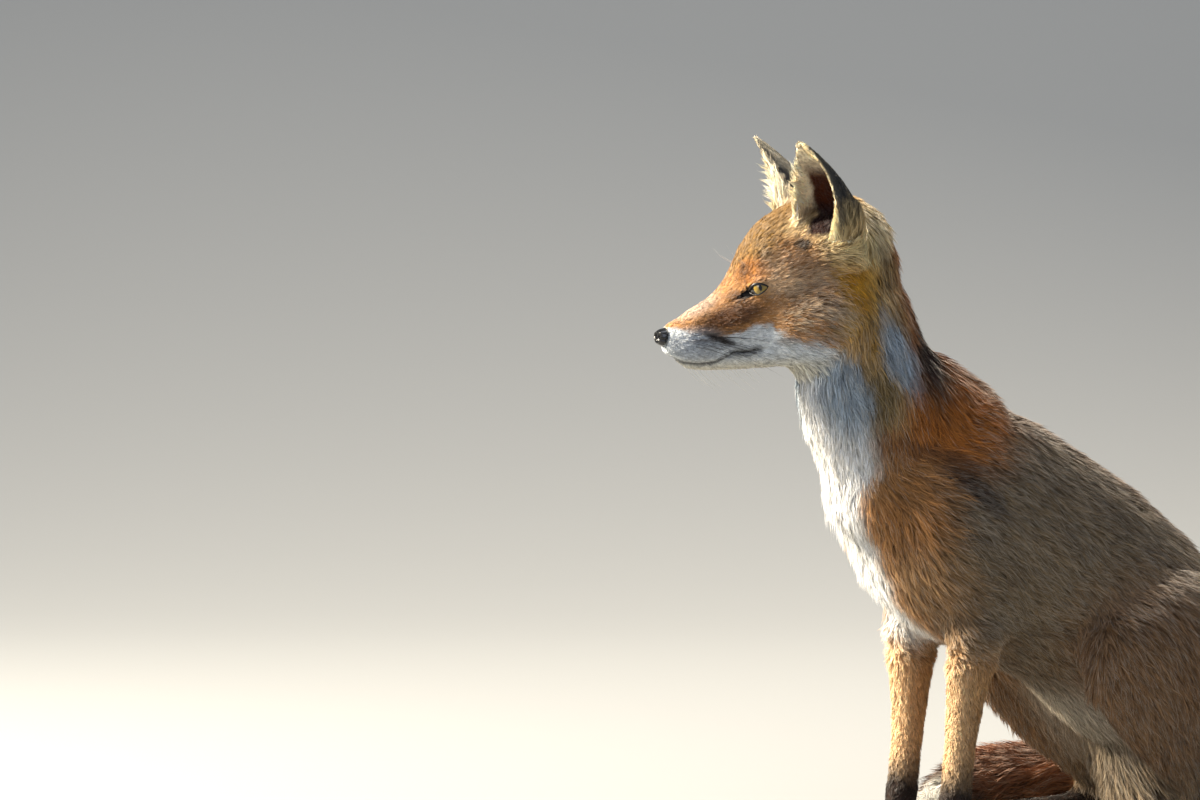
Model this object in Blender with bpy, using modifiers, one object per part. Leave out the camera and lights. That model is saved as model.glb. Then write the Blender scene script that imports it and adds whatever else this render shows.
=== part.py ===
"""Red fox, sitting upright with its head turned a little to its right.

The solids give the outer form of the animal, out to the tips of its coat, and are parted
by thin cuts into the pieces that a person would name. Sizes are in metres, +Z is up, the
chest faces -Y and the fox's left is +X. The origin is on the floor, in the middle of the
box round the whole animal.

Places are written as (forward, left, up), measured from the floor midway between the
forefeet, or, on the head, from a point in the middle of the skull base.
"""

import math

import bmesh
import bpy
from mathutils import Matrix, Vector

# ---- driving dimensions ---------------------------------------------------------------
FORELEG_SPREAD = 0.033  # middle of the body to the middle of a foreleg
ELBOW_UP = 0.188
ELBOW_CUT = 0.146  # height at which the foreleg parts from the trunk
WRIST_CUT = 0.046  # height at which the paw parts from the foreleg
SKULL_BASE = (0.080, 0.0, 0.3926)  # where the head's own frame sits
HEAD_TURN = math.radians(-19.0)  # to the fox's right
EYE_AT = (0.0732, 0.0228, 0.0350)  # middle of the left eyeball, in the head's frame
EYE_RADIUS = 0.0092
EAR_WALL = 0.0042  # gristle and its fur
EAR_ROOT = (0.0260, 0.0360, 0.0700)  # both ends of the left ear, in the head's frame
EAR_TIP = (0.0555, 0.0570, 0.1440)
EAR_HALF_WIDTH = 0.0235  # across the opening, where the ear is widest
EAR_FOOT = (0.85, 0.3)  # share of that width at the root, and how far up it reaches the whole
EAR_DEPTH = 0.0255  # of the cup at the root
EAR_TIP_RADIUS = 0.0038
EAR_BOW = 0.0085  # how far the back of the ear bends away from a straight line
EAR_FACING = math.radians(24)  # outwards from straight ahead
EAR_CURL = math.radians(132)  # from the middle of the ear round to each edge, at the root
EAR_CURL_AT_TIP = math.radians(106)

RING = 24  # corners in a ring of a loft
GRAIN = 0.0036  # grid of the remesh that joins the masses
SOFTENING = 9  # smoothing passes over the joined masses
CALMING = 26  # further passes over the broad forms
NECK_LINE = (0.836, 0.549)  # forward and up, along the neck towards the head
HEAD_STARTS = 0.293  # along that line, where the further passes stop
SOLID_TRIANGLES = 4900  # flesh, before it is parted
FINE = 0.94  # how little the head and feet are thinned, against 1 for the broad forms
CUT = 0.0004  # width of the cuts between the pieces
GAP = 0.0003  # clearance between a piece and its neighbour
SMALLEST_PIECE = 4e-7  # cubic metres: anything smaller is waste from a cut

BODY = Matrix(((0, 1, 0, 0), (-1, 0, 0, 0), (0, 0, 1, 0), (0, 0, 0, 1)))
HEAD = BODY @ Matrix.Translation(SKULL_BASE) @ Matrix.Rotation(HEAD_TURN, 4, "Z")
SIDES = {"left": 1.0, "right": -1.0}


# ---- modelling helpers ------------------------------------------------------------------
def catmull_rom(stations, spans=5):
    """The stations with evenly spaced ones put between them, on a smooth curve."""
    ends = [stations[0], *stations, stations[-1]]
    smooth = []
    for before, here, there, after in zip(ends, ends[1:], ends[2:], ends[3:]):
        for step in range(spans):
            t = step / spans
            smooth.append([
                b + (c - a) * t / 2
                + (a - 2.5 * b + 2 * c - 0.5 * d) * t**2
                + (1.5 * (b - c) + 0.5 * (d - a)) * t**3
                for a, b, c, d in zip(before, here, there, after)
            ])
    return [*smooth, list(stations[-1])]


def loft(shape, frame, stations, hold=None, level=False):
    """Adds a round-ended tube. A station is (forward, left, up, half width, half height).

    The rings stand square to the line, or, with a direction to hold, square to that. A
    level tube keeps its width horizontal wherever it turns, as a tail does."""
    line = catmull_rom(stations)
    rings = []
    for i, (*centre, wide, high) in enumerate(line):
        ahead = Vector(line[min(i + 1, len(line) - 1)][:3]) - Vector(line[max(i - 1, 0)][:3])
        ahead = Vector(hold) if hold else ahead.normalized()
        side = Vector((0, 0, 1)).cross(ahead) if level else Vector((0, 1, 0)) - ahead * ahead.y
        side.normalize()
        rings.append((Vector(centre), ahead, side * wide, ahead.cross(side) * high))
    caps = [(math.sin(a), math.cos(a)) for a in (math.radians(35), math.radians(65))]

    def capped(ring, way):
        centre, ahead, side, up = ring
        reach = ahead * way * min(side.length, up.length)
        return [(centre + reach * out, ahead, side * scale, up * scale) for out, scale in caps]

    rings = [*reversed(capped(rings[0], -1)), *rings, *capped(rings[-1], 1)]
    turns = [2 * math.pi * k / RING for k in range(RING)]
    loops = [
        [shape.verts.new(frame @ (c + side * math.cos(a) + up * math.sin(a))) for a in turns]
        for c, _, side, up in rings
    ]
    for low, high in zip(loops, loops[1:]):
        for k in range(RING):
            shape.faces.new((low[k - 1], low[k], high[k], high[k - 1]))
    for loop in (loops[0], loops[-1]):
        shape.faces.new(loop)


def ellipsoid(shape, frame, centre, radii, pitch=0.0, yaw=0.0):
    """Adds an ellipsoid with its radii forward, left and up, pitched nose-up, then turned left."""
    turned = Matrix.Rotation(math.radians(yaw), 4, "Z") @ Matrix.Rotation(math.radians(-pitch), 4, "Y")
    place = frame @ Matrix.Translation(centre) @ turned @ Matrix.Diagonal((*radii, 1))
    bmesh.ops.create_uvsphere(shape, u_segments=18, v_segments=10, radius=1, matrix=place)


def new_object(name, shape):
    """Makes an object of the bmesh, with its faces turned outwards."""
    bmesh.ops.recalc_face_normals(shape, faces=shape.faces)
    mesh = bpy.data.meshes.new(name)
    shape.to_mesh(mesh)
    shape.free()
    made = bpy.data.objects.new(name, mesh)
    bpy.context.scene.collection.objects.link(made)
    return made


def bake_modifiers(obj):
    """Replaces the object's mesh by what its modifiers make of it."""
    graph = bpy.context.evaluated_depsgraph_get()
    mesh = bpy.data.meshes.new_from_object(obj.evaluated_get(graph))
    obj.modifiers.clear()
    obj.data = mesh


def subtract(obj, cutter):
    """Cuts one object from another, and keeps the cutter for the next one."""
    cut = obj.modifiers.new("cut", "BOOLEAN")
    cut.operation = "DIFFERENCE"
    cut.object = cutter
    bake_modifiers(obj)


# ---- the masses of the body -------------------------------------------------------------
def add_trunk(shape):
    """Ribcage, loin and rump along the bent back, with the breast in front."""
    spine = [
        (0.050, 0, 0.283, 0.045, 0.050),
        (0.016, 0, 0.270, 0.060, 0.078),
        (-0.030, 0, 0.248, 0.064, 0.092),
        (-0.085, 0, 0.222, 0.064, 0.089),
        (-0.140, 0, 0.192, 0.064, 0.087),
        (-0.190, 0, 0.150, 0.068, 0.085),
        (-0.222, 0, 0.100, 0.070, 0.072),
        (-0.226, 0, 0.047, 0.060, 0.055),
    ]
    loft(shape, BODY, spine)
    ellipsoid(shape, BODY, (0.050, 0, 0.270), (0.030, 0.044, 0.070), pitch=-28)
    ellipsoid(shape, BODY, (0.004, 0, 0.215), (0.036, 0.040, 0.034))


def add_neck(shape):
    line = [
        (0.004, 0, 0.292, 0.056, 0.078),
        (0.042, 0, 0.328, 0.051, 0.067),
        (0.0625, 0, 0.356, 0.047, 0.0580),
        (0.0730, 0, 0.386, 0.045, 0.0525),
        (0.0815, 0, 0.420, 0.043, 0.0460),
        (0.0885, 0, 0.446, 0.036, 0.0375),
    ]
    loft(shape, BODY, line)


def add_foreleg(shape, side):
    """Shoulder blade, upper arm, forearm and paw."""
    blade_and_arm = [
        (-0.032, 0.016 * side, 0.322, 0.014, 0.022),
        (-0.006, 0.034 * side, 0.298, 0.020, 0.034),
        (0.018, 0.042 * side, 0.270, 0.024, 0.038),
        (0.006, 0.043 * side, 0.232, 0.023, 0.040),
        (-0.012, 0.041 * side, 0.204, 0.019, 0.032),
    ]
    loft(shape, BODY, blade_and_arm)
    spread = FORELEG_SPREAD * side
    forearm = [
        (-0.014, 0.040 * side, ELBOW_UP + 0.014, 0.0190, 0.0310),
        (-0.011, 0.039 * side, 0.162, 0.0165, 0.0250),
        (-0.007, spread * 1.06, 0.122, 0.0135, 0.0178),
        (-0.003, spread, 0.085, 0.0118, 0.0140),
        (0.000, spread, 0.058, 0.0120, 0.0135),
        (0.003, spread, 0.034, 0.0125, 0.0130),
    ]
    loft(shape, BODY, forearm)
    add_paw(shape, (0.012, spread, 0.0115), side, long=0.025)


def add_hind_leg(shape, side):
    """Folded thigh and shank, with the long foot flat on the floor."""
    thigh = [
        (-0.222, 0.046 * side, 0.118, 0.040, 0.074),
        (-0.186, 0.060 * side, 0.134, 0.036, 0.072),
        (-0.146, 0.069 * side, 0.142, 0.028, 0.056),
        (-0.110, 0.073 * side, 0.146, 0.020, 0.036),
    ]
    loft(shape, BODY, thigh)
    shank = [
        (-0.116, 0.074 * side, 0.138, 0.019, 0.032),
        (-0.150, 0.073 * side, 0.098, 0.018, 0.030),
        (-0.190, 0.069 * side, 0.058, 0.0145, 0.021),
        (-0.218, 0.066 * side, 0.030, 0.0120, 0.0145),
    ]
    loft(shape, BODY, shank)
    foot = [
        (-0.222, 0.066 * side, 0.0165, 0.0125, 0.0170),
        (-0.180, 0.068 * side, 0.0115, 0.0115, 0.0130),
        (-0.130, 0.071 * side, 0.0105, 0.0125, 0.0120),
        (-0.105, 0.073 * side, 0.0105, 0.0150, 0.0120),
    ]
    loft(shape, BODY, foot)
    add_paw(shape, (-0.098, 0.074 * side, 0.0105), side, long=0.024)


def add_paw(shape, heel, side, long):
    """A padded foot with four toes that fan out a little."""
    forward, left, up = heel
    ellipsoid(shape, BODY, (forward + 0.008, left, up + 0.001), (long, 0.0170, 0.0135))
    for across, reach in ((-1.5, 0.025), (-0.5, 0.033), (0.5, 0.033), (1.5, 0.025)):
        toe = (forward + reach, left + across * 0.0090, up - 0.001)
        ellipsoid(shape, BODY, toe, (0.0140, 0.0058, 0.0105), yaw=across * 5)


def add_tail(shape):
    """A full brush that leaves the rump and lies on the floor round the right side."""
    line = [
        (-0.250, 0.000, 0.080, 0.022, 0.024),
        (-0.290, -0.010, 0.048, 0.025, 0.028),
        (-0.312, -0.052, 0.028, 0.029, 0.030),
        (-0.300, -0.104, 0.027, 0.032, 0.030),
        (-0.252, -0.140, 0.027, 0.034, 0.030),
        (-0.190, -0.152, 0.026, 0.033, 0.029),
        (-0.140, -0.146, 0.022, 0.026, 0.024),
        (-0.106, -0.134, 0.014, 0.015, 0.016),
        (-0.090, -0.126, 0.008, 0.006, 0.007),
    ]
    loft(shape, BODY, line, level=True)


def add_head(shape):
    """Skull, muzzle, lower jaw, cheeks and brow."""
    profile = [
        (0.1490, 0, 0.0002, 0.0080, 0.0060),
        (0.1425, 0, -0.0018, 0.0112, 0.0100),
        (0.1330, 0, -0.0040, 0.0148, 0.0158),
        (0.1230, 0, -0.0026, 0.0165, 0.0216),
        (0.1110, 0, 0.0004, 0.0180, 0.0255),
        (0.1020, 0, 0.0036, 0.0200, 0.0285),
        (0.0960, 0, 0.0068, 0.0222, 0.0318),
        (0.0900, 0, 0.0116, 0.0248, 0.0362),
        (0.0850, 0, 0.0170, 0.0264, 0.0412),
        (0.0790, 0, 0.0228, 0.0291, 0.0464),
        (0.0690, 0, 0.0305, 0.0338, 0.0524),
        (0.0500, 0, 0.0395, 0.0395, 0.0555),
        (0.0250, 0, 0.0480, 0.0400, 0.0550),
    ]
    loft(shape, HEAD, profile, hold=(1, 0, 0))
    ellipsoid(shape, HEAD, (0.012, 0, 0.052), (0.052, 0.042, 0.052))
    jaw = [
        (0.122, 0, -0.0180, 0.0092, 0.0085),
        (0.106, 0, -0.0170, 0.0132, 0.0100),
        (0.080, 0, -0.0135, 0.0205, 0.0125),
        (0.050, 0, -0.0080, 0.0270, 0.0165),
        (0.022, 0, -0.0010, 0.0320, 0.0220),
    ]
    loft(shape, HEAD, jaw)
    for side in SIDES.values():
        cheek = (0.030, 0.028 * side, 0.012)
        ellipsoid(shape, HEAD, cheek, (0.044, 0.0225, 0.032), pitch=-12, yaw=-14 * side)
        brow = (0.065, 0.017 * side, 0.056)
        ellipsoid(shape, HEAD, brow, (0.017, 0.014, 0.014))
        upper_lip = (0.119, 0.0088 * side, -0.006)
        ellipsoid(shape, HEAD, upper_lip, (0.021, 0.0112, 0.0125))
        ear_base = (0.016, 0.0335 * side, 0.069)
        ellipsoid(shape, HEAD, ear_base, (0.027, 0.0185, 0.021))


def is_broad(place):
    """Whether a place is on the trunk, neck, tail or a haunch, rather than the head or a foot."""
    forward, left, up = BODY.inverted() @ place
    on_head = forward * NECK_LINE[0] + up * NECK_LINE[1] > HEAD_STARTS
    on_foreleg = forward > -0.07 and up < 0.165
    on_hind_foot = forward > -0.20 and -0.105 < left and abs(left) > 0.050 and up < 0.034
    return not (on_head or on_foreleg or on_hind_foot)


def calm(body):
    """Evens out the creases between the masses of the broad forms, and marks them."""
    shape = bmesh.new()
    shape.from_mesh(body.data)
    broad = [vertex for vertex in shape.verts if is_broad(vertex.co)]
    every_way = {"use_axis_x": True, "use_axis_y": True, "use_axis_z": True}
    for _ in range(CALMING):
        bmesh.ops.smooth_vert(shape, verts=broad, factor=0.5, **every_way)
    shape.to_mesh(body.data)
    shape.free()
    marked = body.vertex_groups.new(name="broad")
    for vertex in body.data.vertices:
        marked.add([vertex.index], 1.0 if is_broad(vertex.co) else FINE, "REPLACE")


def flesh():
    """The whole animal but its ears and eyes, as one closed mesh that stands flat on the floor."""
    shape = bmesh.new()
    add_trunk(shape)
    add_neck(shape)
    add_head(shape)
    add_tail(shape)
    for side in SIDES.values():
        add_foreleg(shape, side)
        add_hind_leg(shape, side)
    body = new_object("flesh", shape)
    joined = body.modifiers.new("join", "REMESH")
    joined.mode = "VOXEL"
    joined.voxel_size = GRAIN
    softened = body.modifiers.new("soften", "SMOOTH")
    softened.factor = 0.5
    softened.iterations = SOFTENING
    bake_modifiers(body)
    calm(body)
    fewer = body.modifiers.new("fewer", "DECIMATE")
    fewer.ratio = SOLID_TRIANGLES / (2 * len(body.data.polygons))
    fewer.vertex_group = "broad"
    bake_modifiers(body)
    shape = bmesh.new()
    shape.from_mesh(body.data)
    everything = [*shape.verts, *shape.edges, *shape.faces]
    floor = {"plane_co": (0, 0, 0), "plane_no": (0, 0, -1)}
    cut = bmesh.ops.bisect_plane(shape, geom=everything, clear_outer=True, **floor)
    rim = [e for e in cut["geom_cut"] if isinstance(e, bmesh.types.BMEdge)]
    bmesh.ops.holes_fill(shape, edges=rim)
    bmesh.ops.triangulate(shape, faces=shape.faces)
    shape.to_mesh(body.data)
    shape.free()
    return body


# ---- ears and eyes ----------------------------------------------------------------------
def ear(name, side, wall):
    """A pricked ear: a deep cupped leaf that opens forwards and outwards, thickened to a wall."""
    root = Vector((EAR_ROOT[0], EAR_ROOT[1] * side, EAR_ROOT[2]))
    tip = Vector((EAR_TIP[0], EAR_TIP[1] * side, EAR_TIP[2]))
    facing = Vector((math.cos(EAR_FACING), math.sin(EAR_FACING) * side, 0))
    across = Vector((0, 0, 1)).cross(facing)
    shape = bmesh.new()
    bmesh.ops.create_grid(shape, x_segments=9, y_segments=8, size=1)
    for vertex in shape.verts:
        height = (vertex.co.y + 1) / 2
        turn = vertex.co.x * (EAR_CURL * (1 - height) + EAR_CURL_AT_TIP * height)
        foot = EAR_FOOT[0] + (1 - EAR_FOOT[0]) * min(1, height / EAR_FOOT[1])
        half_width = EAR_HALF_WIDTH * foot * (1 - height**2) ** 0.85 + EAR_TIP_RADIUS
        depth = EAR_DEPTH * (1 - height**1.25) + EAR_TIP_RADIUS / 2
        spine = root + (tip - root) * height - facing * EAR_BOW * math.sin(math.pi * height)
        vertex.co = HEAD @ (spine + across * half_width * math.sin(turn) - facing * depth * math.cos(turn))
    made = new_object(name, shape)
    thicken = made.modifiers.new("wall", "SOLIDIFY")
    thicken.thickness = wall
    thicken.offset = 0
    bake_modifiers(made)
    return made


def ball(name, side, radius):
    """An eyeball, or the hollow for one."""
    forward, left, up = EYE_AT
    shape = bmesh.new()
    ellipsoid(shape, HEAD, (forward, left * side, up), (radius, radius, radius))
    return new_object(name, shape)


# ---- parting the body -------------------------------------------------------------------
def loose_parts(obj):
    """Takes the object apart into its separate pieces, without the waste of the cuts."""
    shape = bmesh.new()
    shape.from_mesh(obj.data)
    bpy.data.objects.remove(obj)
    unseen = set(shape.verts)
    parts = []
    while unseen:
        found = [unseen.pop()]
        for vertex in found:
            near = {edge.other_vert(vertex) for edge in vertex.link_edges} & unseen
            unseen -= near
            found.extend(near)
        piece = shape.copy()
        piece.verts.ensure_lookup_table()
        kept = {vertex.index for vertex in found}
        bmesh.ops.delete(piece, geom=[v for v in piece.verts if v.index not in kept], context="VERTS")
        if piece.calc_volume() > SMALLEST_PIECE:
            parts.append(new_object("piece", piece))
        else:
            piece.free()
    shape.free()
    return parts


def middle(obj):
    """The middle of the object's box."""
    corners = [vertex.co for vertex in obj.data.vertices]
    low = Vector(map(min, zip(*corners)))
    high = Vector(map(max, zip(*corners)))
    return (low + high) / 2


def part(obj, cuts, names):
    """Cuts the object apart and names each piece by the place nearest to its middle."""
    for cut in cuts:
        subtract(obj, cut)
        bpy.data.objects.remove(cut)
    for piece in loose_parts(obj):
        centre = middle(piece)
        piece.name = min(names, key=lambda name: (centre - BODY @ Vector(names[name])).length)


def slab(frame, centre, facing, size):
    """A thin blade through the centre, square to the way it faces."""
    turn = Vector(facing).to_track_quat("Z", "Y").to_matrix().to_4x4()
    shape = bmesh.new()
    place = frame @ Matrix.Translation(centre) @ turn @ Matrix.Diagonal((*size, CUT, 1))
    bmesh.ops.create_cube(shape, size=1, matrix=place)
    return new_object("blade", shape)


def shell(shape):
    """A thin closed blade round a form, to cut out what is inside it."""
    blade = new_object("blade", shape)
    thin = blade.modifiers.new("thin", "SOLIDIFY")
    thin.thickness = CUT
    bake_modifiers(blade)
    return blade


def joint_cuts():
    """Flat cuts, each through one joint."""
    nose_leather = slab(HEAD, (0.1405, 0, 0.0), (0.97, 0, 0.14), (0.05, 0.04))
    skull_base = slab(BODY, (0.083, 0, 0.421), (0.823, -0.145, 0.549), (0.21, 0.21))
    neck_root = slab(BODY, (0.040, 0, 0.320), (0.540, 0, 0.840), (0.30, 0.24))
    tail_root = slab(BODY, (-0.302, -0.030, 0.038), (-0.427, -0.816, -0.389), (0.078, 0.078))
    pale_tip = slab(BODY, (-0.170, -0.152, 0.030), (1, 0.05, 0), (0.12, 0.12))
    made = [nose_leather, skull_base, neck_root, tail_root, pale_tip]
    for side in SIDES.values():
        elbow = (-0.008, 0.041 * side, ELBOW_CUT)
        made.append(slab(BODY, elbow, (0, 0, 1), (0.070, 0.090)))
        wrist = (0.000, FORELEG_SPREAD * side, WRIST_CUT)
        made.append(slab(BODY, wrist, (0, 0, 1), (0.05, 0.07)))
    return made


def foot_cuts():
    """Boxes round the long hind feet."""
    made = []
    for side in SIDES.values():
        shape = bmesh.new()
        place = BODY @ Matrix.Translation((-0.145, 0.0775 * side, 0.005))
        place = place @ Matrix.Diagonal((0.210, 0.053, 0.050, 1))
        bmesh.ops.create_cube(shape, size=1, matrix=place)
        made.append(shell(shape))
    return made


def haunch_cuts():
    """Egg-shaped blades round the thigh and shank."""
    made = []
    for side in SIDES.values():
        shape = bmesh.new()
        ellipsoid(shape, BODY, (-0.168, 0.082 * side, 0.120), (0.106, 0.050, 0.104), pitch=-8)
        made.append(shell(shape))
    return made


def fit_ears_and_eyes():
    """Ears that end just above the head, and eyeballs that sit in hollows in it."""
    head = bpy.data.objects["head"]
    wide_head = bpy.data.objects.new("wide head", head.data.copy())
    bpy.context.scene.collection.objects.link(wide_head)
    for vertex in wide_head.data.vertices:
        vertex.co += vertex.normal * GAP
    for name, side in SIDES.items():
        subtract(ear("ear_" + name, side, EAR_WALL), wide_head)
        hollow = ball("hollow", side, EYE_RADIUS + GAP)
        subtract(head, hollow)
        bpy.data.objects.remove(hollow)
        ball("eye_" + name, side, EYE_RADIUS)
    bpy.data.objects.remove(wide_head)


# ---- finishing --------------------------------------------------------------------------
FUR = 0.85  # roughness
COAT = (0.43, 0.17, 0.055)
COLOURS = {  # colour and roughness of all that isn't plain coat, by the start of its name
    "nose": ((0.045, 0.030, 0.024), 0.35),
    "eye": ((0.30, 0.13, 0.02), 0.08),
    "ear": ((0.045, 0.030, 0.024), FUR),
    "forepaw": ((0.025, 0.016, 0.012), FUR),
    "hind_foot": ((0.025, 0.016, 0.012), FUR),
    "tail_tip": ((0.62, 0.50, 0.38), FUR),
}


def finish(pieces):
    """Gives each piece its material and stands the whole over the origin."""
    corners = [vertex.co for piece in pieces for vertex in piece.data.vertices]
    low = Vector(map(min, zip(*corners)))
    high = Vector(map(max, zip(*corners)))
    shift = Vector((-(low.x + high.x) / 2, -(low.y + high.y) / 2, -low.z))
    group = bpy.data.collections.new("red fox")
    bpy.context.scene.collection.children.link(group)
    for piece in pieces:
        piece.data.transform(Matrix.Translation(shift))
        for owner in piece.users_collection:
            owner.objects.unlink(piece)
        group.objects.link(piece)
        named = [COLOURS[start] for start in COLOURS if piece.name.startswith(start)]
        colour, roughness = named[0] if named else (COAT, FUR)
        material = bpy.data.materials.new(piece.name)
        material.use_nodes = True
        surface = material.node_tree.nodes["Principled BSDF"]
        surface.inputs["Base Color"].default_value = (*colour, 1)
        surface.inputs["Roughness"].default_value = roughness
        piece.data.materials.clear()
        piece.data.materials.append(material)


def main():
    for obj in list(bpy.data.objects):
        bpy.data.objects.remove(obj)
    places = {
        "trunk": (-0.12, 0, 0.18),
        "neck": (0.048, 0, 0.38),
        "head": (0.13, 0, 0.43),
        "nose": (0.214, -0.045, 0.393),
        "tail": (-0.25, -0.12, 0.03),
        "tail_tip": (-0.13, -0.15, 0.026),
    }
    trunk = {"trunk": (-0.12, 0, 0.18)}
    feet = dict(trunk)
    haunches = dict(trunk)
    for name, side in SIDES.items():
        places["foreleg_" + name] = (-0.005, 0.035 * side, 0.10)
        places["forepaw_" + name] = (0.023, 0.033 * side, 0.023)
        feet["hind_foot_" + name] = (-0.14, 0.072 * side, 0.017)
        haunches["haunch_" + name] = (-0.17, 0.08 * side, 0.12)
    part(flesh(), joint_cuts(), places)
    part(bpy.data.objects["trunk"], foot_cuts(), feet)
    part(bpy.data.objects["trunk"], haunch_cuts(), haunches)
    fit_ears_and_eyes()
    finish(list(bpy.data.objects))


main()
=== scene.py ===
# %% [markdown]
# # A young red fox, sitting
#
# The fox sits upright with its chest to -Y and its left side to +X. The solids that fix its
# size are already made, and this file gives them their looks: one skin, eyes, a nose, claws,
# whiskers and a coat of many small tufts. Everything is in metres and nothing is random
# without a seed, so each run gives the same fox.

import math

import bmesh
import bpy
import numpy as np
from mathutils import Matrix, Vector, noise
from mathutils.bvhtree import BVHTree


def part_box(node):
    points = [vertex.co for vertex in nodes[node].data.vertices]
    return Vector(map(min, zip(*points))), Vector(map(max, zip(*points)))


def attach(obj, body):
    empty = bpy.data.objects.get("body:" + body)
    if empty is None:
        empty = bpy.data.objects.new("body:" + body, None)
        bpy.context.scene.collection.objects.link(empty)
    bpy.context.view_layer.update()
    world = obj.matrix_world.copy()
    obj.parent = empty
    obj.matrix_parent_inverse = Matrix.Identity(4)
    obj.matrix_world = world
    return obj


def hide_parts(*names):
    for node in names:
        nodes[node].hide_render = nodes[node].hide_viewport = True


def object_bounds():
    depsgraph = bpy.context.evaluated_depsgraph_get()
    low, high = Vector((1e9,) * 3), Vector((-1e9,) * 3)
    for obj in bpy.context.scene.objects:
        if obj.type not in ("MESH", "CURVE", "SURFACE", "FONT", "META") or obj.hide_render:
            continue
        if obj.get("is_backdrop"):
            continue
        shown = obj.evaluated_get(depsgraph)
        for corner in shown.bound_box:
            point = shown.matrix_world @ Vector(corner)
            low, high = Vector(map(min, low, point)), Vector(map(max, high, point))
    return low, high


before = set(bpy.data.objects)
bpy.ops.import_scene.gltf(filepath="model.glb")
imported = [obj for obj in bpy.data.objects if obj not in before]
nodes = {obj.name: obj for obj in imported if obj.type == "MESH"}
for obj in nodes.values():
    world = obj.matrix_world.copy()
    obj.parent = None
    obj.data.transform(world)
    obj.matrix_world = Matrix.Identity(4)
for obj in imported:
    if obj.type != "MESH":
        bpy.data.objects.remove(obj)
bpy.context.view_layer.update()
scene = bpy.context.scene
rng = np.random.default_rng(7)

# %% [markdown]
# Two frames of axes make an animal easier to think about. In the body's frame a place is
# (forward, left, up) from the floor between the forefeet. The head is turned a little to the
# fox's right, so it has a frame of its own, with its origin in the middle of the skull base.

# %% Body and head frames
STANCE = Vector((0.0440, -0.0599, 0.0))
BODY = Matrix.Translation(STANCE) @ Matrix(((0, 1, 0, 0), (-1, 0, 0, 0), (0, 0, 1, 0), (0, 0, 0, 1)))
HEAD = BODY @ Matrix.Translation((0.080, 0.0, 0.3926)) @ Matrix.Rotation(math.radians(-19), 4, "Z")
SIDES = {"left": 1.0, "right": -1.0}


def within(matrix, points):
    """World points (n, 3) as places in the frame."""
    turn = np.array(matrix.inverted())
    return points @ turn[:3, :3].T + turn[:3, 3]


def to_world(matrix, points):
    """Places in a frame (n, 3) as world points."""
    turn = np.array(matrix)
    return points @ turn[:3, :3].T + turn[:3, 3]


def world_way(matrix, ways):
    """Directions in a frame (n, 3) as world directions."""
    return np.asarray(ways, float) @ np.array(matrix)[:3, :3].T


def way_in_head(ways):
    """World directions (n, 3) as directions in the head's frame."""
    return ways @ np.array(HEAD)[:3, :3]


def side_of(places):
    """1 on the left and -1 on the right."""
    return np.where(places[:, 1] > 0, 1.0, -1.0)


def unit(ways):
    return ways / np.maximum(np.linalg.norm(ways, axis=-1, keepdims=True), 1e-9)


def ramp(value, low, high):
    """0 below low and 1 above high, with a soft step between. Works when low is above high too."""
    t = np.clip((value - low) / (high - low), 0, 1)
    return t * t * (3 - 2 * t)


print("head starts at", [round(c, 3) for c in HEAD.translation])

# %% [markdown]
# The camera comes first, because every later choice is judged through it. A long lens from
# six metres keeps the fox's proportions true, where a wide lens close by would stretch them.

# %% Camera
AZIMUTH, ELEVATION, DISTANCE = math.radians(55), math.radians(4), 6.0
VIEW_WIDTH = 0.9023  # metres across the view at the fox
back = Vector((
    math.sin(AZIMUTH) * math.cos(ELEVATION),
    -math.cos(AZIMUTH) * math.cos(ELEVATION),
    math.sin(ELEVATION),
))
right = Vector((math.cos(AZIMUTH), math.sin(AZIMUTH), 0))
up = back.cross(right)
aim = STANCE - right * 0.2481 + up * 0.3383
camera = bpy.data.objects.new("camera", bpy.data.cameras.new("camera"))
scene.collection.objects.link(camera)
camera.data.lens = 36 * DISTANCE / VIEW_WIDTH
camera.data.clip_end = 60
camera.location = aim + back * DISTANCE
camera.rotation_euler = back.to_track_quat("Z", "Y").to_euler()
scene.camera = camera
print("lens", round(camera.data.lens), "mm, aimed at", [round(c, 3) for c in aim])

# %% [markdown]
# Colours are easiest to read as the hex codes that a paint program shows. Blender's shaders
# work in linear light, so one small function turns the one into the other.


# %% Colour and mesh helpers
def linear(code):
    """An sRGB hex code as linear red, green and blue."""
    parts = [int(code[i : i + 2], 16) / 255 for i in (1, 3, 5)]
    return np.array([c / 12.92 if c <= 0.04045 else ((c + 0.055) / 1.055) ** 2.4 for c in parts])


def add_object(name, shape):
    """Makes a smooth-shaded object of a bmesh and frees the bmesh."""
    mesh = bpy.data.meshes.new(name)
    shape.to_mesh(mesh)
    shape.free()
    mesh.polygons.foreach_set("use_smooth", [True] * len(mesh.polygons))
    made = bpy.data.objects.new(name, mesh)
    scene.collection.objects.link(made)
    return made


def add_remesh(obj, cell):
    """Gives the object a new even mesh with faces of the given size when it is baked."""
    remesh = obj.modifiers.new("remesh", "REMESH")
    remesh.mode = "VOXEL"
    remesh.voxel_size = cell


def bake_modifiers(obj):
    """Replaces the object's mesh by what its modifiers make of it."""
    graph = bpy.context.evaluated_depsgraph_get()
    mesh = bpy.data.meshes.new_from_object(obj.evaluated_get(graph))
    obj.modifiers.clear()
    obj.data = mesh


def read(items, key, width, kind=np.float32):
    """One property of all vertices, edges or faces, as an array."""
    values = np.empty(len(items) * width, kind)
    items.foreach_get(key, values)
    return values.reshape(-1, width) if width > 1 else values


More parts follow.
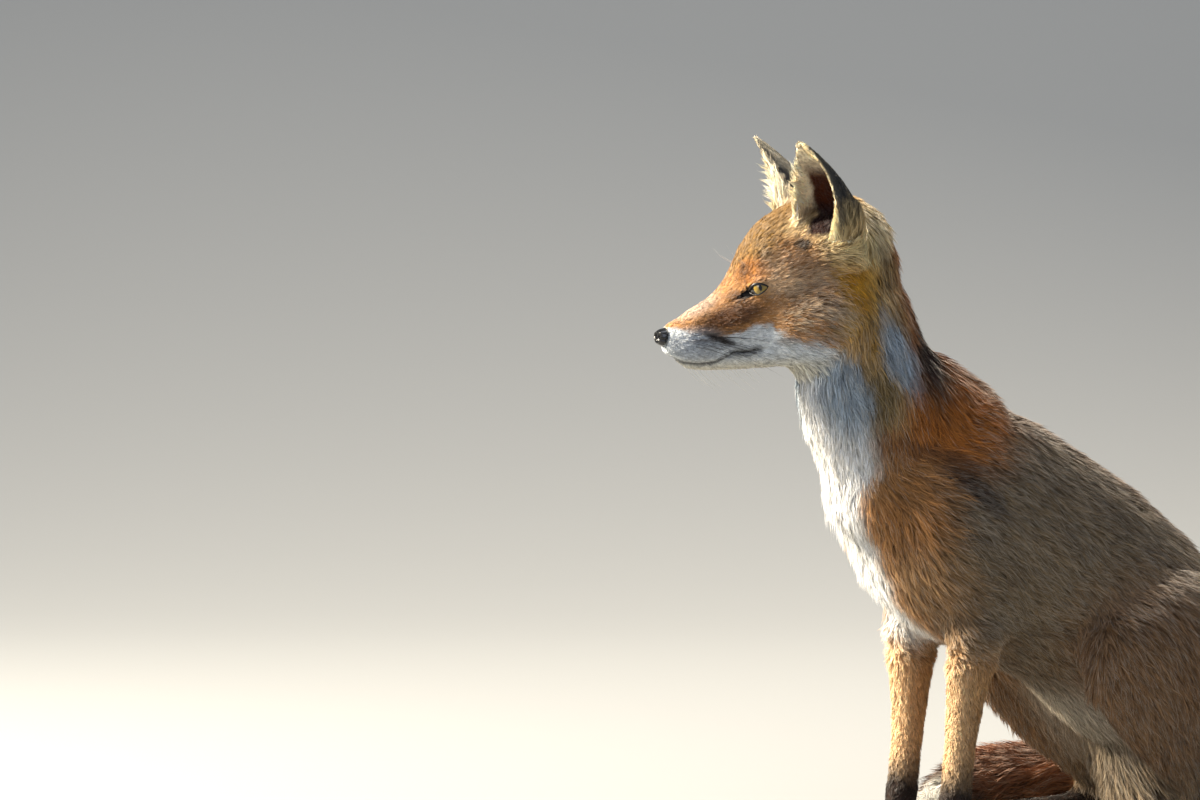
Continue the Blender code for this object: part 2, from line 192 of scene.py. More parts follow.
def spread(values, edges, passes, where=None):
    """Moves each vertex's values half way to the mean of its neighbours', some times over."""
    count = len(values)
    flat = values.reshape(count, -1).astype(float)
    degree = np.maximum(np.bincount(edges.ravel(), minlength=count), 1)[:, None]
    pull = 0.5 if where is None else 0.5 * where[:, None]
    for _ in range(passes):
        total = np.stack([
            np.bincount(edges[:, 0], column[edges[:, 1]], count)
            + np.bincount(edges[:, 1], column[edges[:, 0]], count)
            for column in flat.T
        ], axis=1)
        flat += pull * (total / degree - flat)
    return flat.reshape(values.shape)


print("white in linear light:", linear("#FFFFFF"))

# %% [markdown]
# The solids are parted by thin cuts, but a real animal has one skin. Copies of the flesh
# solids are grown by half a millimetre, so that they close over the cuts, and remeshed into
# one surface. The face is then divided once more, since that is where the small folds are.

# %% One skin
flesh = sorted(name for name in nodes if name != "nose" and not name.startswith("eye"))
shape = bmesh.new()
for name in flesh + ["eye_left", "eye_right"]:  # the eyes fill their sockets for now
    shape.from_mesh(nodes[name].data)
bmesh.ops.remove_doubles(shape, verts=shape.verts, dist=1e-6)
shape.normal_update()
for vertex in shape.verts:
    vertex.co += vertex.normal * 0.0005
outer = add_object("outer form", shape)
add_remesh(outer, 0.0023)
bake_modifiers(outer)
print("outer form:", len(outer.data.polygons), "faces")


# %% Divide the face again
def largest_part(shape):
    """Deletes all but the biggest connected piece."""
    unseen = set(shape.verts)
    best = []
    while unseen:
        found = [unseen.pop()]
        for vertex in found:
            near = {edge.other_vert(vertex) for edge in vertex.link_edges} & unseen
            unseen -= near
            found.extend(near)
        best = max(best, found, key=len)
    kept = set(best)
    bmesh.ops.delete(shape, geom=[v for v in shape.verts if v not in kept], context="VERTS")


shape = bmesh.new()
shape.from_mesh(outer.data)
bpy.data.objects.remove(outer)
largest_part(shape)
to_head = HEAD.inverted()
EYE = np.array([0.0732, 0.0228, 0.0350])


def refine(shape, chosen):
    """Divides the faces whose middle passes the test, and tidies the faces around them."""
    inside = [face for face in shape.faces if chosen(to_head @ face.calc_center_median())]
    cut = {edge for face in inside for edge in face.edges}
    bmesh.ops.subdivide_edges(shape, edges=list(cut), cuts=1, use_grid_fill=True)
    bmesh.ops.triangulate(shape, faces=[f for f in shape.faces if len(f.verts) > 4])


refine(shape, lambda place: place.x > 0.035 and -0.035 < place.z < 0.085 and abs(place.y) < 0.05)
refine(shape, lambda place: (Vector((place.x, abs(place.y), place.z)) - Vector(EYE)).length < 0.0145)
skin = add_object("skin", shape)
print("skin faces:", len(skin.data.polygons))

# %% [markdown]
# Many choices depend on which part of the body a place is on: how long the hair is, which way
# it lies, how deep the coat. Each vertex looks up its nearest solid, and the answers are spread
# over the mesh so that one part fades into the next.

# %% Which part is where
REGIONS = ["head", "ear", "neck", "trunk", "foreleg", "forepaw", "haunch", "hind_foot", "tail"]
points, faces, owners = [], [], []
for name in flesh:
    mesh = nodes[name].data
    start = len(points)
    points.extend(v.co.copy() for v in mesh.vertices)
    faces.extend([start + i for i in polygon.vertices] for polygon in mesh.polygons)
    region = next(k for k, r in enumerate(REGIONS) if name.startswith(r))
    owners.extend([region] * len(mesh.polygons))
lookup = BVHTree.FromPolygons(points, faces)
spots = read(skin.data.vertices, "co", 3).astype(float)
edges = read(skin.data.edges, "vertices", 2, np.int32)
nearest = np.array([owners[lookup.find_nearest(Vector(p))[2]] for p in spots])
share = spread(np.eye(len(REGIONS))[nearest], edges, 6)
share = dict(zip(REGIONS, share.T))
head_spots = within(HEAD, spots)
plain = np.clip(1 - share["head"] - share["forepaw"] - share["hind_foot"], 0.25, 1)
spots = spread(spots, edges, 12, where=plain)
print({name: round(float(s.mean()), 3) for name, s in share.items()})

# %% [markdown]
# The solids reach out to the tips of the coat, so the skin lies inside them by the coat's
# depth: a millimetre or two on the face and legs, more on the body, most on the tail.

# %% Coat depth
DEPTH = {  # millimetres
    "head": 2.2, "ear": 0.7, "neck": 6, "trunk": 6, "foreleg": 2.0, "forepaw": 0.8,
    "haunch": 5, "hind_foot": 1.0, "tail": 11,
}
skin.data.vertices.foreach_set("co", spots.ravel())
skin.data.update()
normals = read(skin.data.vertices, "normal", 3).astype(float)
face_front = ramp(head_spots[:, 0], 0.030, 0.080) * (share["head"] > 0.5)
depth = sum(share[name] * DEPTH[name] for name in REGIONS) * 0.001
depth *= 1 - 0.62 * face_front
spots = spots - normals * depth[:, None]
spots = spread(spots, edges, 3)
print("coat depth, mm:", round(depth.min() * 1000, 2), "to", round(depth.max() * 1000, 2))

# %% [markdown]
# A fox's eyes sit in almond openings with dark rims. The eyeball is a ball of its own, so the
# skin is shaped round it: inside the almond the skin is pressed in behind the eyeball, and
# outside it the skin is lifted just clear of the ball, which makes the lids. A dark bare wedge
# runs forward from the inner corner, where the tears drain. It is drawn large enough to take in
# the shade of the eye's socket too, so its black is partly painted shade.

# %% Where the eyes look
EYE_RADIUS = 0.0092
EYE_OPENING = (0.0070, 0.0036)  # half length and half height of the almond
EYE_SHIFT = 0.0022  # how far the opening lies towards the inner corner
EYE_DROP = 0.0006  # and how far below the middle of the ball
LID = 0.0007


def eye_axes(side):
    """The way the eye looks, the way to its inner corner and the way up, in the head's frame."""
    turned, climb, slant = math.radians(78), math.radians(9), math.radians(12)
    ahead = np.array([math.cos(turned), math.sin(turned), 0])
    gaze = ahead * math.cos(climb) + np.array([0, 0, math.sin(climb)])
    level = np.array([math.sin(turned), -math.cos(turned), 0])
    rise = np.cross(gaze, -level)
    inner = level * math.cos(slant) - rise * math.sin(slant)
    above = np.cross(inner, gaze)
    return [way * (1, side, 1) for way in (gaze, inner, above * np.sign(above[2]))]


def almond(along):
    """Half height of the eye's opening at a place along it, from -1 at the outer corner to 1."""
    return EYE_OPENING[1] * (1 + 0.38 * along) * np.clip(1 - along**2, 0, 1) ** 0.75


def tear_and_socket_shade(places):
    """1 on the bare dark wedge in front of each eye, for places in the head's frame: dark skin where the
    tears drain, and painted shade of the socket.
    """
    gaze, inner, above = eye_axes(1)
    offset = places * (1, 0, 1) + np.abs(places) * (0, 1, 0) - EYE
    ahead, high = offset @ inner - EYE_SHIFT - 0.0045, offset @ above + EYE_DROP
    high = high + 0.25 * ahead
    half = np.interp(ahead, [0, 0.0035, 0.0080, 0.0120], [0.0048, 0.0038, 0.0024, 0.0006])
    outside = ramp(ahead, -0.001, 0.0005) * ramp(offset @ gaze, -0.004, 0.0)
    return ramp(np.abs(high), half + 0.0006, half - 0.0006) * outside


print("left eye looks along", eye_axes(1)[0].round(2))

# %% Shape the lids
head_spots = within(HEAD, spots)
bare = np.zeros(len(spots))  # 1 where no hair grows
for side in SIDES.values():
    centre = EYE * (1, side, 1)
    gaze, inner, above = eye_axes(side)
    offset = head_spots - centre
    reach = np.linalg.norm(offset, axis=1)
    along, high = (offset @ inner - EYE_SHIFT) / EYE_OPENING[0], offset @ above + EYE_DROP
    near = (offset @ gaze > 0.002) & (reach < 0.0165)
    opened = near & (np.abs(along) < 1) & (np.abs(high) < almond(along))
    thickness = LID + 0.0008 * ramp(high, 0.0, 0.006)
    lifted = np.maximum(reach, EYE_RADIUS + thickness)
    target = np.where(opened, EYE_RADIUS * 0.7, np.where(near, lifted, reach))
    head_spots = centre + offset * (target / reach)[:, None]
    round_it = near & (np.abs(along) < 1.12) & (np.abs(high) < almond(along / 1.15) + 0.0009)
    bare = np.maximum(bare, 1.0 * round_it)
corner = tear_and_socket_shade(head_spots)
bare = np.maximum(bare, corner)
head_spots[:, 1] -= np.sign(head_spots[:, 1]) * 0.0012 * corner  # sunken
print("bare skin at the eyes:", int(bare.sum()), "vertices")

# %% [markdown]
# The mouth could be cut as a real opening, but a closed mouth shows only a line. So it is a
# fine groove along each side of the muzzle, with the lower lip tucked in a little beneath it.


# %% Shape the mouth
def mouth_height(forward):
    """Height of the line between the lips, from the corner of the mouth to the front."""
    return np.interp(
        forward,
        [0.068, 0.074, 0.083, 0.093, 0.099, 0.105, 0.117, 0.127, 0.136, 0.145],
        [-0.0092, -0.0100, -0.0118, -0.0122, -0.0160, -0.0198, -0.0210, -0.0200, -0.0160, -0.0120],
    )


normals_head = way_in_head(normals)
gap = head_spots[:, 2] - mouth_height(head_spots[:, 0])
on_muzzle = ramp(head_spots[:, 0], 0.067, 0.074) * (share["head"] > 0.5)
groove = np.exp(-((gap / 0.0011) ** 2)) * on_muzzle
tuck = ramp(gap, 0.001, -0.004) * on_muzzle * ramp(head_spots[:, 2], -0.028, -0.020)
head_spots = head_spots - normals_head * (0.0018 * groove + 0.0008 * tuck)[:, None]
spots = to_world(HEAD, head_spots)
bare = np.maximum(bare, ramp(groove, 0.55, 0.9))
print("mouth corner height, mm:", mouth_height(0.07) * 1000)

# %% [markdown]
# A fox walks on four toes. They lie close together, so on each foot three shallow grooves over
# the front of the paw are enough to part them.

# %% Part the toes
FEET = ("forepaw_left", "forepaw_right", "hind_foot_left", "hind_foot_right")
TOE_GAPS = (-0.26, 0.0, 0.26)  # in widths of the paw
TOE_LENGTH = 0.028
GROOVE_WIDTH, GROOVE_DEPTH = 0.0016, 0.0024
toes = np.zeros(len(spots))
for name in FEET:
    low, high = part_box(name)
    wide = high.x - low.x
    sideways = (spots[:, 0] - (low.x + high.x) / 2) / wide
    front = low.y + TOE_LENGTH
    inside = (np.abs(sideways) < 0.6) & (spots[:, 2] < high.z + 0.002)
    inside = inside & (spots[:, 1] < front) & (spots[:, 1] > low.y - 0.003)
    fade = ramp(spots[:, 1], front, front - 0.010)
    for toe_gap in TOE_GAPS:
        dent = np.exp(-(((sideways - toe_gap) * wide / GROOVE_WIDTH) ** 2)) * fade
        toes = np.maximum(toes, dent * inside)
spots = spots - normals * (GROOVE_DEPTH * toes)[:, None]
spots[:, 2] = np.maximum(spots[:, 2], 0.0002)
skin.data.vertices.foreach_set("co", spots.ravel())
skin.data.update()
normals = read(skin.data.vertices, "normal", 3).astype(float)
head_spots = within(HEAD, spots)
body_spots = within(BODY, spots)
print("toe grooves reach", round(float(toes.max()) * GROOVE_DEPTH * 1000, 1), "mm")

# %% [markdown]
# Hair lies in a set direction on each part: back from the nose over the face, up the ears,
# down the neck, back along the body, down the legs and out along the tail. Each part gets one
# simple rule, and the rules are mixed by the part weights and laid flat against the skin.
# The tail curls round the fox, so its hair follows a line of points along its middle.

# %% Along the tail
TAIL_LINE = np.array([
    (-0.250, 0.000, 0.080), (-0.290, -0.010, 0.048), (-0.312, -0.052, 0.028),
    (-0.300, -0.104, 0.027), (-0.252, -0.140, 0.027), (-0.190, -0.152, 0.026),
    (-0.140, -0.146, 0.022), (-0.106, -0.134, 0.014), (-0.090, -0.126, 0.008),
])


def follow_tail(places):
    """How far along the tail each place is, from 0 to 1, and the tail's direction there."""
    steps = np.diff(TAIL_LINE, axis=0)
    share_along = np.einsum("nkc,kc->nk", places[:, None] - TAIL_LINE[:-1], steps) / (steps**2).sum(axis=1)
    share_along = np.clip(share_along, 0, 1)
    away = np.linalg.norm(places[:, None] - (TAIL_LINE[:-1] + share_along[..., None] * steps), axis=2)
    piece = away.argmin(axis=1)
    rows = np.arange(len(places))
    return (piece + share_along[rows, piece]) / len(steps), unit(steps)[piece]


tail_steps = np.linalg.norm(np.diff(TAIL_LINE, axis=0), axis=1)
print("tail along its middle:", round(float(tail_steps.sum()), 3), "m")

# %% [markdown]
# An ear is a cup whose middle line leans outwards and bows back. Where a place is round that
# cup settles a lot: the hollow side has long hair over the inner edge and next to none in the
# middle, the outer edge is a thin pale rim, and the back is short and dark.


# %% Round the ears
EAR_FACING = math.radians(24)  # outwards from straight ahead
EAR_ROOT = np.array([0.0260, 0.0360, 0.0700])
EAR_RISE = np.array([0.0295, 0.0210, 0.0740])
EAR_BOW = 0.0085 * np.array([0.91, 0.41])  # back and inwards, half way up


def ear_axes(side):
    """From root to tip of the ear, and the way its hollow faces, in the head's frame."""
    return unit(EAR_RISE * (1, side, 1)), np.array([math.cos(EAR_FACING), side * math.sin(EAR_FACING), 0])


def ear_core(places):
    """The middle of the ear's cup at each place's height, as (forward, left)."""
    height = (places[:, 2] - EAR_ROOT[2]) / EAR_RISE[2]
    bow = np.sin(np.pi * np.clip(height, 0, 1))
    side = side_of(places)
    middle = EAR_ROOT[:2] + EAR_RISE[:2] * height[:, None] - EAR_BOW * bow[:, None]
    return middle * np.column_stack([np.ones(len(side)), side])


def round_the_ear(places):
    """Round each ear's cup: metres outwards past the outer edge's line, and metres to the side."""
    side = side_of(places)
    offset = places[:, :2] - ear_core(places)
    ahead = offset[:, 0] * math.cos(EAR_FACING) + offset[:, 1] * side * math.sin(EAR_FACING)
    outward = offset[:, 1] * side * math.cos(EAR_FACING) - offset[:, 0] * math.sin(EAR_FACING)
    edge = np.radians(np.interp(places[:, 2], [EAR_ROOT[2], EAR_ROOT[2] + EAR_RISE[2]], [48, 74]))
    past = (np.arctan2(outward, ahead) - edge) * np.hypot(ahead, outward)
    return np.where(outward > 0, past, 1.0), outward


def ear_inside(places, normals_there):
    """1 on the hollow side of an ear and -1 on its back, for places in the head's frame."""
    return -(unit(places[:, :2] - ear_core(places)) * normals_there[:, :2]).sum(axis=1)


def ear_floor(places, facing_in):
    """1 on the floor of an ear and low on its back wall, for places in the head's frame."""
    offset = places[:, :2] - ear_core(places)
    away = np.linalg.norm(offset, axis=1)
    wall = ramp(away, 0.029, 0.025) * ramp(facing_in, 0.0, 0.3) * ramp(offset[:, 0], 0.005, -0.001)
    return np.maximum(ramp(away, 0.017, 0.012), wall) * ramp(places[:, 2], 0.0715, 0.0765)


print("ears", round(float(np.linalg.norm(EAR_RISE)) * 100, 1), "cm from root to tip")


# %% Lie of the coat
def lie_on_head(places, sides):
    """The way hair points on the head, in the head's frame."""
    ways = unit(places - np.array([0.155, 0, 0.004])) + np.array([-0.3, 0, 0])
    ways[:, 2] -= 0.7 * ramp(places[:, 0], 0.06, 0.02) * ramp(places[:, 2], 0.06, 0.01)  # cheeks
    nape = ramp(places[:, 0], 0.036, 0.0)[:, None]
    outward = np.clip(places[:, 1] / 0.04, -1, 1)[:, None] * np.array([0, 0.3, 0])
    ways = ways * (1 - nape) + nape * (np.array([-0.45, 0, -0.95]) + outward)
    to_core = places[:, :2] - ear_core(places)
    climbing = ramp(np.linalg.norm(to_core, axis=1), 0.034, 0.024) * ramp(places[:, 2], 0.062, 0.070)
    climbing = (climbing * ramp(to_core[:, 0], 0.004, -0.004))[:, None]  # up the back of the ear
    rising = np.stack([ear_axes(side)[0] for side in sides])
    return unit(ways) * (1 - climbing) + rising * climbing


def lie_on_trunk(places):
    """The way hair points on the trunk, in the body's frame."""
    forward, across, height = places.T
    down = ramp(forward, 0.02, 0.09)[:, None]
    ways = (1 - down) * np.array([-0.80, 0.0, -0.60]) + down * np.array([-0.12, 0.0, -1.0])
    shoulder = ramp(height, 0.25, 0.30) * ramp(forward, 0.085, 0.05) * ramp(forward, -0.06, -0.02)
    shoulder = shoulder[:, None]
    ways = ways * (1 - shoulder) + shoulder * np.array([-1.0, 0.0, -0.40])
    ways[:, 1] += 0.3 * np.clip(across / 0.05, -1, 1) * (1 - down[:, 0])
    return ways


def lie_of_coat(head_places, body_places, sides, hollows):
    """The way hair points on each part, in world directions. Hollows is 1 inside the ears."""
    ears = np.stack([ear_axes(s)[0] + 1.5 * w * ear_axes(s)[1] for s, w in zip(sides, hollows)])
    fill = np.ones((len(body_places), 1))
    return {
        "head": world_way(HEAD, lie_on_head(head_places, sides)),
        "ear": world_way(HEAD, ears),
        "neck": world_way(BODY, np.array([-0.30, 0.0, -1.0]) * fill),
        "trunk": world_way(BODY, lie_on_trunk(body_places)),
        "foreleg": world_way(BODY, np.array([-0.10, 0.0, -1.0]) * fill),
        "forepaw": world_way(BODY, np.array([0.9, 0.0, -0.6]) * fill),
        "haunch": world_way(BODY, np.array([-0.45, 0.0, -1.0]) * fill),
        "hind_foot": world_way(BODY, np.array([0.95, 0.0, -0.35]) * fill),
        "tail": world_way(BODY, follow_tail(body_places)[1]),
    }


sides = side_of(head_spots)
ear_front = ear_inside(head_spots, way_in_head(normals))
past_edge, to_side = round_the_ear(head_spots)
hollows = ramp(ear_front, -0.1, 0.3) * ramp(to_side, 0.003, -0.003)
ways = lie_of_coat(head_spots, body_spots, sides, hollows)
flow = sum(unit(ways[name]) * share[name][:, None] for name in REGIONS)
flow = unit(spread(unit(flow), edges, 12))
flow = unit(flow - normals * (flow * normals).sum(axis=1, keepdims=True))
print("lie of the coat found at", len(flow), "vertices")

# %% [markdown]
# The markings are painted once, by rules in the two frames, and used for both the skin and the coat. A red
# fox is orange-brown with a white bib, lips and tail tip, black backs to its ears and black feet. This young
# one still has grey-brown grizzled flanks and pale patches on the side of the neck. A dark patch behind the
# shoulder is painted shadow, the shade behind the upper arm.


# %% Tools for markings
def mottle(places, size, seed):
    """Smooth noise from -1 to 1, with blobs of about the given size."""
    cells = places / size
    base = np.floor(cells).astype(np.int64)
    part = cells - base
    part = part * part * (3 - 2 * part)
    total = 0
    for corner in np.ndindex(2, 2, 2):
        key = base + np.array(corner)
        mixed = key[:, 0] * 73856093 ^ key[:, 1] * 19349663 ^ key[:, 2] * 83492791 ^ seed * 7919
        mixed = (mixed * 1103515245 + 12345) & 0x7FFFFFFF
        mixed = (mixed ^ (mixed >> 13)) * 1274126177 & 0x7FFFFFFF
        total = total + np.prod(np.where(corner, part, 1 - part), axis=1) * (mixed / 0x3FFFFFFF - 1)
    return total


def blob(places, centre, size, soft=0.45):
    """1 inside an egg-shaped zone, 0 outside it. The zone is the same on both sides."""
    mirrored = places * (1, 0, 1) + np.abs(places) * (0, 1, 0)
    away = np.linalg.norm((mirrored - np.array(centre)) / np.array(size), axis=1)
    return ramp(away, 1 + soft, 1 - soft)


def lay(colours, mask, code):
    """Lays a colour over others where the mask is 1."""
    mask = np.clip(mask, 0, 1)[:, None]
    return colours * (1 - mask) + linear(code) * mask


def lay_blobs(colours, places, *blobs):
    """Lays egg-shaped patches in turn, each given as centre, size, strength and colour."""
    for centre, size, strength, code in blobs:
        colours = lay(colours, blob(places, centre, size) * strength, code)
    return colours


def shear(places, direction, amount):
    """Places shifted along one axis by the amount at each, so that a blob there lies slanted."""
    return places - amount[:, None] * np.eye(3)[direction]


print("noise runs from", mottle(spots, 0.01, 1).min().round(2), "to", mottle(spots, 0.01, 1).max().round(2))


# %% [markdown]
# The head's colours go on in the order that a painter would use: first the browns and golds
# of the upper side, then the whites of the lips, cheeks and throat, and last the small dark
# marks. All three work in centimetres in the head's frame.


# %% Browns of the head
def head_browns(places, rough, fine, strands):
    """Tan, brown and gold fur of the muzzle, brow, cheeks and ruff."""
    s, u = places[:, 0], places[:, 2]
    c = np.tile(linear("#A87846"), (len(places), 1))
    c = lay(c, ramp(u - 0.35 * s, -0.2, 2.4) * ramp(s, 6.5, 9.0), "#8E6C40")  # top of the muzzle
    c = lay(c, blob(places, (12.7, 0, 2.4), (2.8, 1.5, 1.3)), "#B49C88")  # behind the nose
    slanted = shear(places, 2, -0.30 * (s - 9.4))
    c = lay(c, blob(slanted, (9.4, 2.2, 1.5), (2.6, 1.6, 0.9)) * 0.9, "#4E2D14")  # side of the muzzle
    c = lay(c, ramp(u + 0.3 * rough, 4.0, 6.0) * ramp(s, 10.0, 7.5), "#80602F")  # forehead
    c = lay(c, blob(places, (4.0, 3.0, 7.7), (1.7, 1.8, 1.0)) * 0.7, "#DDC08C")  # before the ear
    c = lay(c, blob(places, (5.2, 3.8, 4.6), (3.2, 2.6, 1.7)) * ramp(fine, -1.2, 0.2), "#C2A07A")  # temple
    c = lay_blobs(
        c, places,
        ((7.9, 2.0, 4.7), (1.5, 1.4, 1.0), 0.75, "#A0621E"),  # inner brow
        ((4.4, 3.6, 6.2), (2.2, 2.0, 1.4), 0.60, "#9C6B3C"),  # below the ear
    )
    c = lay(c, ramp(s + 0.5 * rough, 2.9, 0.9) * ramp(u, -2.5, 0.0), "#CCA050")  # ruff
    c = lay_blobs(
        c, places,
        ((0.6, 4.4, 4.2), (1.1, 2.5, 2.6), 0.85, "#BC8412"),  # gold of the ruff
        ((0.2, 3.2, 7.4), (3.0, 4.0, 2.2), 0.85, "#E0CFA0"),  # behind the ear
        ((-2.2, 1.5, 8.0), (2.6, 3.2, 2.4), 0.80, "#CDBB94"),  # back of the skull
        ((-2.6, 1.5, 5.0), (1.4, 3.0, 2.4), 0.70, "#BBA684"),
    )
    wisps = ramp(strands + 0.5 * rough, -0.15, 0.25)
    c = lay(c, blob(places, (3.6, 4.8, 1.4), (2.8, 3.0, 1.5)) * (0.05 + 0.48 * wisps), "#B3A285")
    return lay(c, blob(places, (3.4, 4.8, 2.6), (2.2, 3.0, 1.0)) * (1 - wisps) * 0.85, "#593A1C")


print("ruff gold in linear light:", linear("#BC8412").round(3))


# %% Whites of the head
WHITE_EDGE = [  # how far up the white reaches at each place along the head
    (-2, -2.2), (1.0, -0.6), (2.8, -0.5), (4.8, -0.3), (5.9, 0.1), (6.2, 0.4), (6.8, 0.85), (7.7, 0.9),
    (8.5, 0.5), (9.3, 0.15), (10.3, -0.2), (11.4, 0.0), (12.4, 0.3), (13.4, 0.6), (14.5, 0.5),
]


def head_whites(c, places, fine, strands):
    """White lips and cheeks with a ragged edge, with painted shade: a slight cool grey on the whites, a warm
    grey on the chin and a darker grey on the whisker pads.
    """
    s, u = places[:, 0], places[:, 2]
    edge = np.interp(s, *zip(*WHITE_EDGE))
    softness = np.interp(s, [2, 6, 9], [1.3, 0.6, 0.35])
    ragged = u + 0.4 * fine * softness + 0.45 * strands * ramp(s, 7.0, 4.5)
    white = ramp(ragged, edge + softness * 0.5, edge - softness * 0.5)
    # The white of the lips and cheeks carries a slight cool grey of painted shade.
    c = lay(c, white * ramp(s, 0.2, 3.0), "#D6DADB")
    # Chin and throat: white fur painted a warm grey, as painted shade on the underside.
    c = lay(c, ramp(u, -1.2, -2.6) * ramp(s, -3, 1), "#D8D2C2")  # chin and throat
    # Whisker pad: white fur painted a darker cool grey, as painted shade.
    return lay(c, blob(places, (12.2, 1.6, -0.7), (2.4, 1.5, 1.2)) * 0.8, "#A9AEB4")  # whisker pad


print("white reaches", max(high for _, high in WHITE_EDGE), "cm above the middle of the skull base")


# %% Dark marks of the head
def head_darks(c, places, fine):
    """The streak on the whisker pad, the marks round the eye and ear, and the lips."""
    s, u = places[:, 0], places[:, 2]
    slanted = shear(places, 2, 0.35 * (s - 10.4))
    streak = blob(slanted, (10.3, 2.0, -0.2), (1.15, 1.5, 0.30), 0.6)
    c = lay(c, streak * ramp(fine, -1.6, -0.3), "#1E1613")
    c = lay(c, blob(places, (11.6, 1.8, -0.35), (1.0, 1.5, 0.10), 0.8) * 0.6, "#4A403A")
    c = lay(c, blob(places, (5.7, 3.4, -0.3), (0.7, 1.5, 0.3), 0.6) * 0.6, "#5A4A40")
    c = lay(c, blob(places, (9.0, 2.1, 2.9), (0.75, 0.9, 0.40), 0.6) * 0.8, "#4A2B18")  # below the eye
    # Black of the wedge before each eye: dark bare skin, and painted shade of the eye's socket.
    c = lay(c, tear_and_socket_shade(places / 100), "#0B090A")
    c = lay(c, blob(places, (8.5, 2.0, 4.9), (0.22, 1.0, 0.7), 0.6) * 0.7, "#3B2C22")  # brow
    c = lay(c, blob(places, (4.4, 3.6, 6.8), (0.55, 1.2, 0.42), 0.6), "#33241A")  # before the ear
    lip_width = np.interp(s, [7, 9, 10.5, 13], [0.30, 0.26, 0.14, 0.10])
    lips = np.exp(-(((u - mouth_height(s / 100) * 100) / lip_width) ** 2)) * ramp(s, 6.8, 7.6)
    return lay(c, lips * np.interp(s, [7, 10, 12], [1.0, 0.95, 0.7]), "#14100E")


def head_markings(places, normals_there):
    """Colours on the head, for places in centimetres in the head's frame."""
    s, t, u = places[:, 0], np.abs(places[:, 1]), places[:, 2]
    rough, fine = mottle(places, 0.9, 11), mottle(places, 0.3, 12)
    strands = mottle(np.column_stack([0.16 * s, 0.16 * t, u - 0.22 * s]), 0.14, 13)
    c = head_browns(places, rough, fine, strands)
    c = head_whites(c, places, fine, strands)
    c = head_darks(c, places, fine)
    c = lay(c, ear_floor(places / 100, ear_inside(places / 100, normals_there)), "#2C1206")
    below_edge = blob(places, (2.0, 4.4, 6.7), (0.45, 1.2, 0.9), 0.5)
    return lay(c, below_edge * 0.9, "#F2D6A2")  # pale tuft under the ear's outer edge


print("head colours at", len(head_markings(head_spots[:3] * 100, normals[:3])), "test places")

# %% [markdown]
# The ear's back is dark towards the tip and fades to the ruff's colour at the root. Inside, a
# pale fringe grows over the inner edge, the hollow is dark red-brown, and the outer edge is a
# thin cream line with a grey strip behind it.


# %% Markings of the ears
def ear_markings(places, normals_there):
    """Colours on the ears, for places in centimetres in the head's frame."""
    front = ear_inside(places / 100, normals_there)
    u = places[:, 2]
    c = np.tile(linear("#D0B98A"), (len(places), 1))
    c = lay(c, ramp(u + 0.7 * mottle(places, 0.5, 21), 7.8, 10.8), "#3A3836")
    ahead, outward = (places[:, :2] - ear_core(places / 100) * 100).T
    inward = ramp(outward * side_of(places), 0.1, -0.6)
    near_edge = ramp(ahead + 0.3 * mottle(places, 0.4, 24), 0.2, 0.8)
    c = lay(c, inward * near_edge * ramp(u, 14.2, 13.0), "#FBEBCB")
    c = lay(c, ramp(front, -0.80, -0.45), "#F6E7C6")  # rim
    inner = ramp(front, 0.1, 0.4)
    c = lay(c, inner, "#FBEBCB")
    limit = np.interp(u, [7.2, 9, 12, 13], [0.30, 0.12, 0.22, 0.45])
    hollow = inner * ramp(ahead + 0.2 * mottle(places, 0.5, 22), limit + 0.25, limit - 0.25)
    c = lay(c, hollow * ramp(u, 13.6, 11.6), "#46200D")
    rim_width = np.interp(u, [7.2, 9.0, 13.0], [0.68, 0.58, 0.46])
    past = round_the_ear(places / 100)[0] * 100
    strip = ramp(past, 1.2, 0.7) * ramp(past, 0.35, 0.5) * ramp(u, 7.2, 8.2) * (1 - inner)
    c = lay(c, strip * 0.7, "#57534C")
    c = lay(c, ramp(past, rim_width + 0.05, rim_width - 0.07), "#FBE6BC")  # the outer edge
    speckled = ramp(places[:, 2], 12.4, 13.6) * ramp(mottle(places, 0.25, 23), -0.2, 0.3)
    return lay(c, speckled * 0.6, "#6B6450")


print("outer edge in linear light:", linear("#FBE6BC").round(3))


# %% [markdown]
# The body is painted in the same way, from the grizzled back to the shoulder, the neck, the
# white bib and the legs. The bib's edges are given by height, as it narrows downwards.


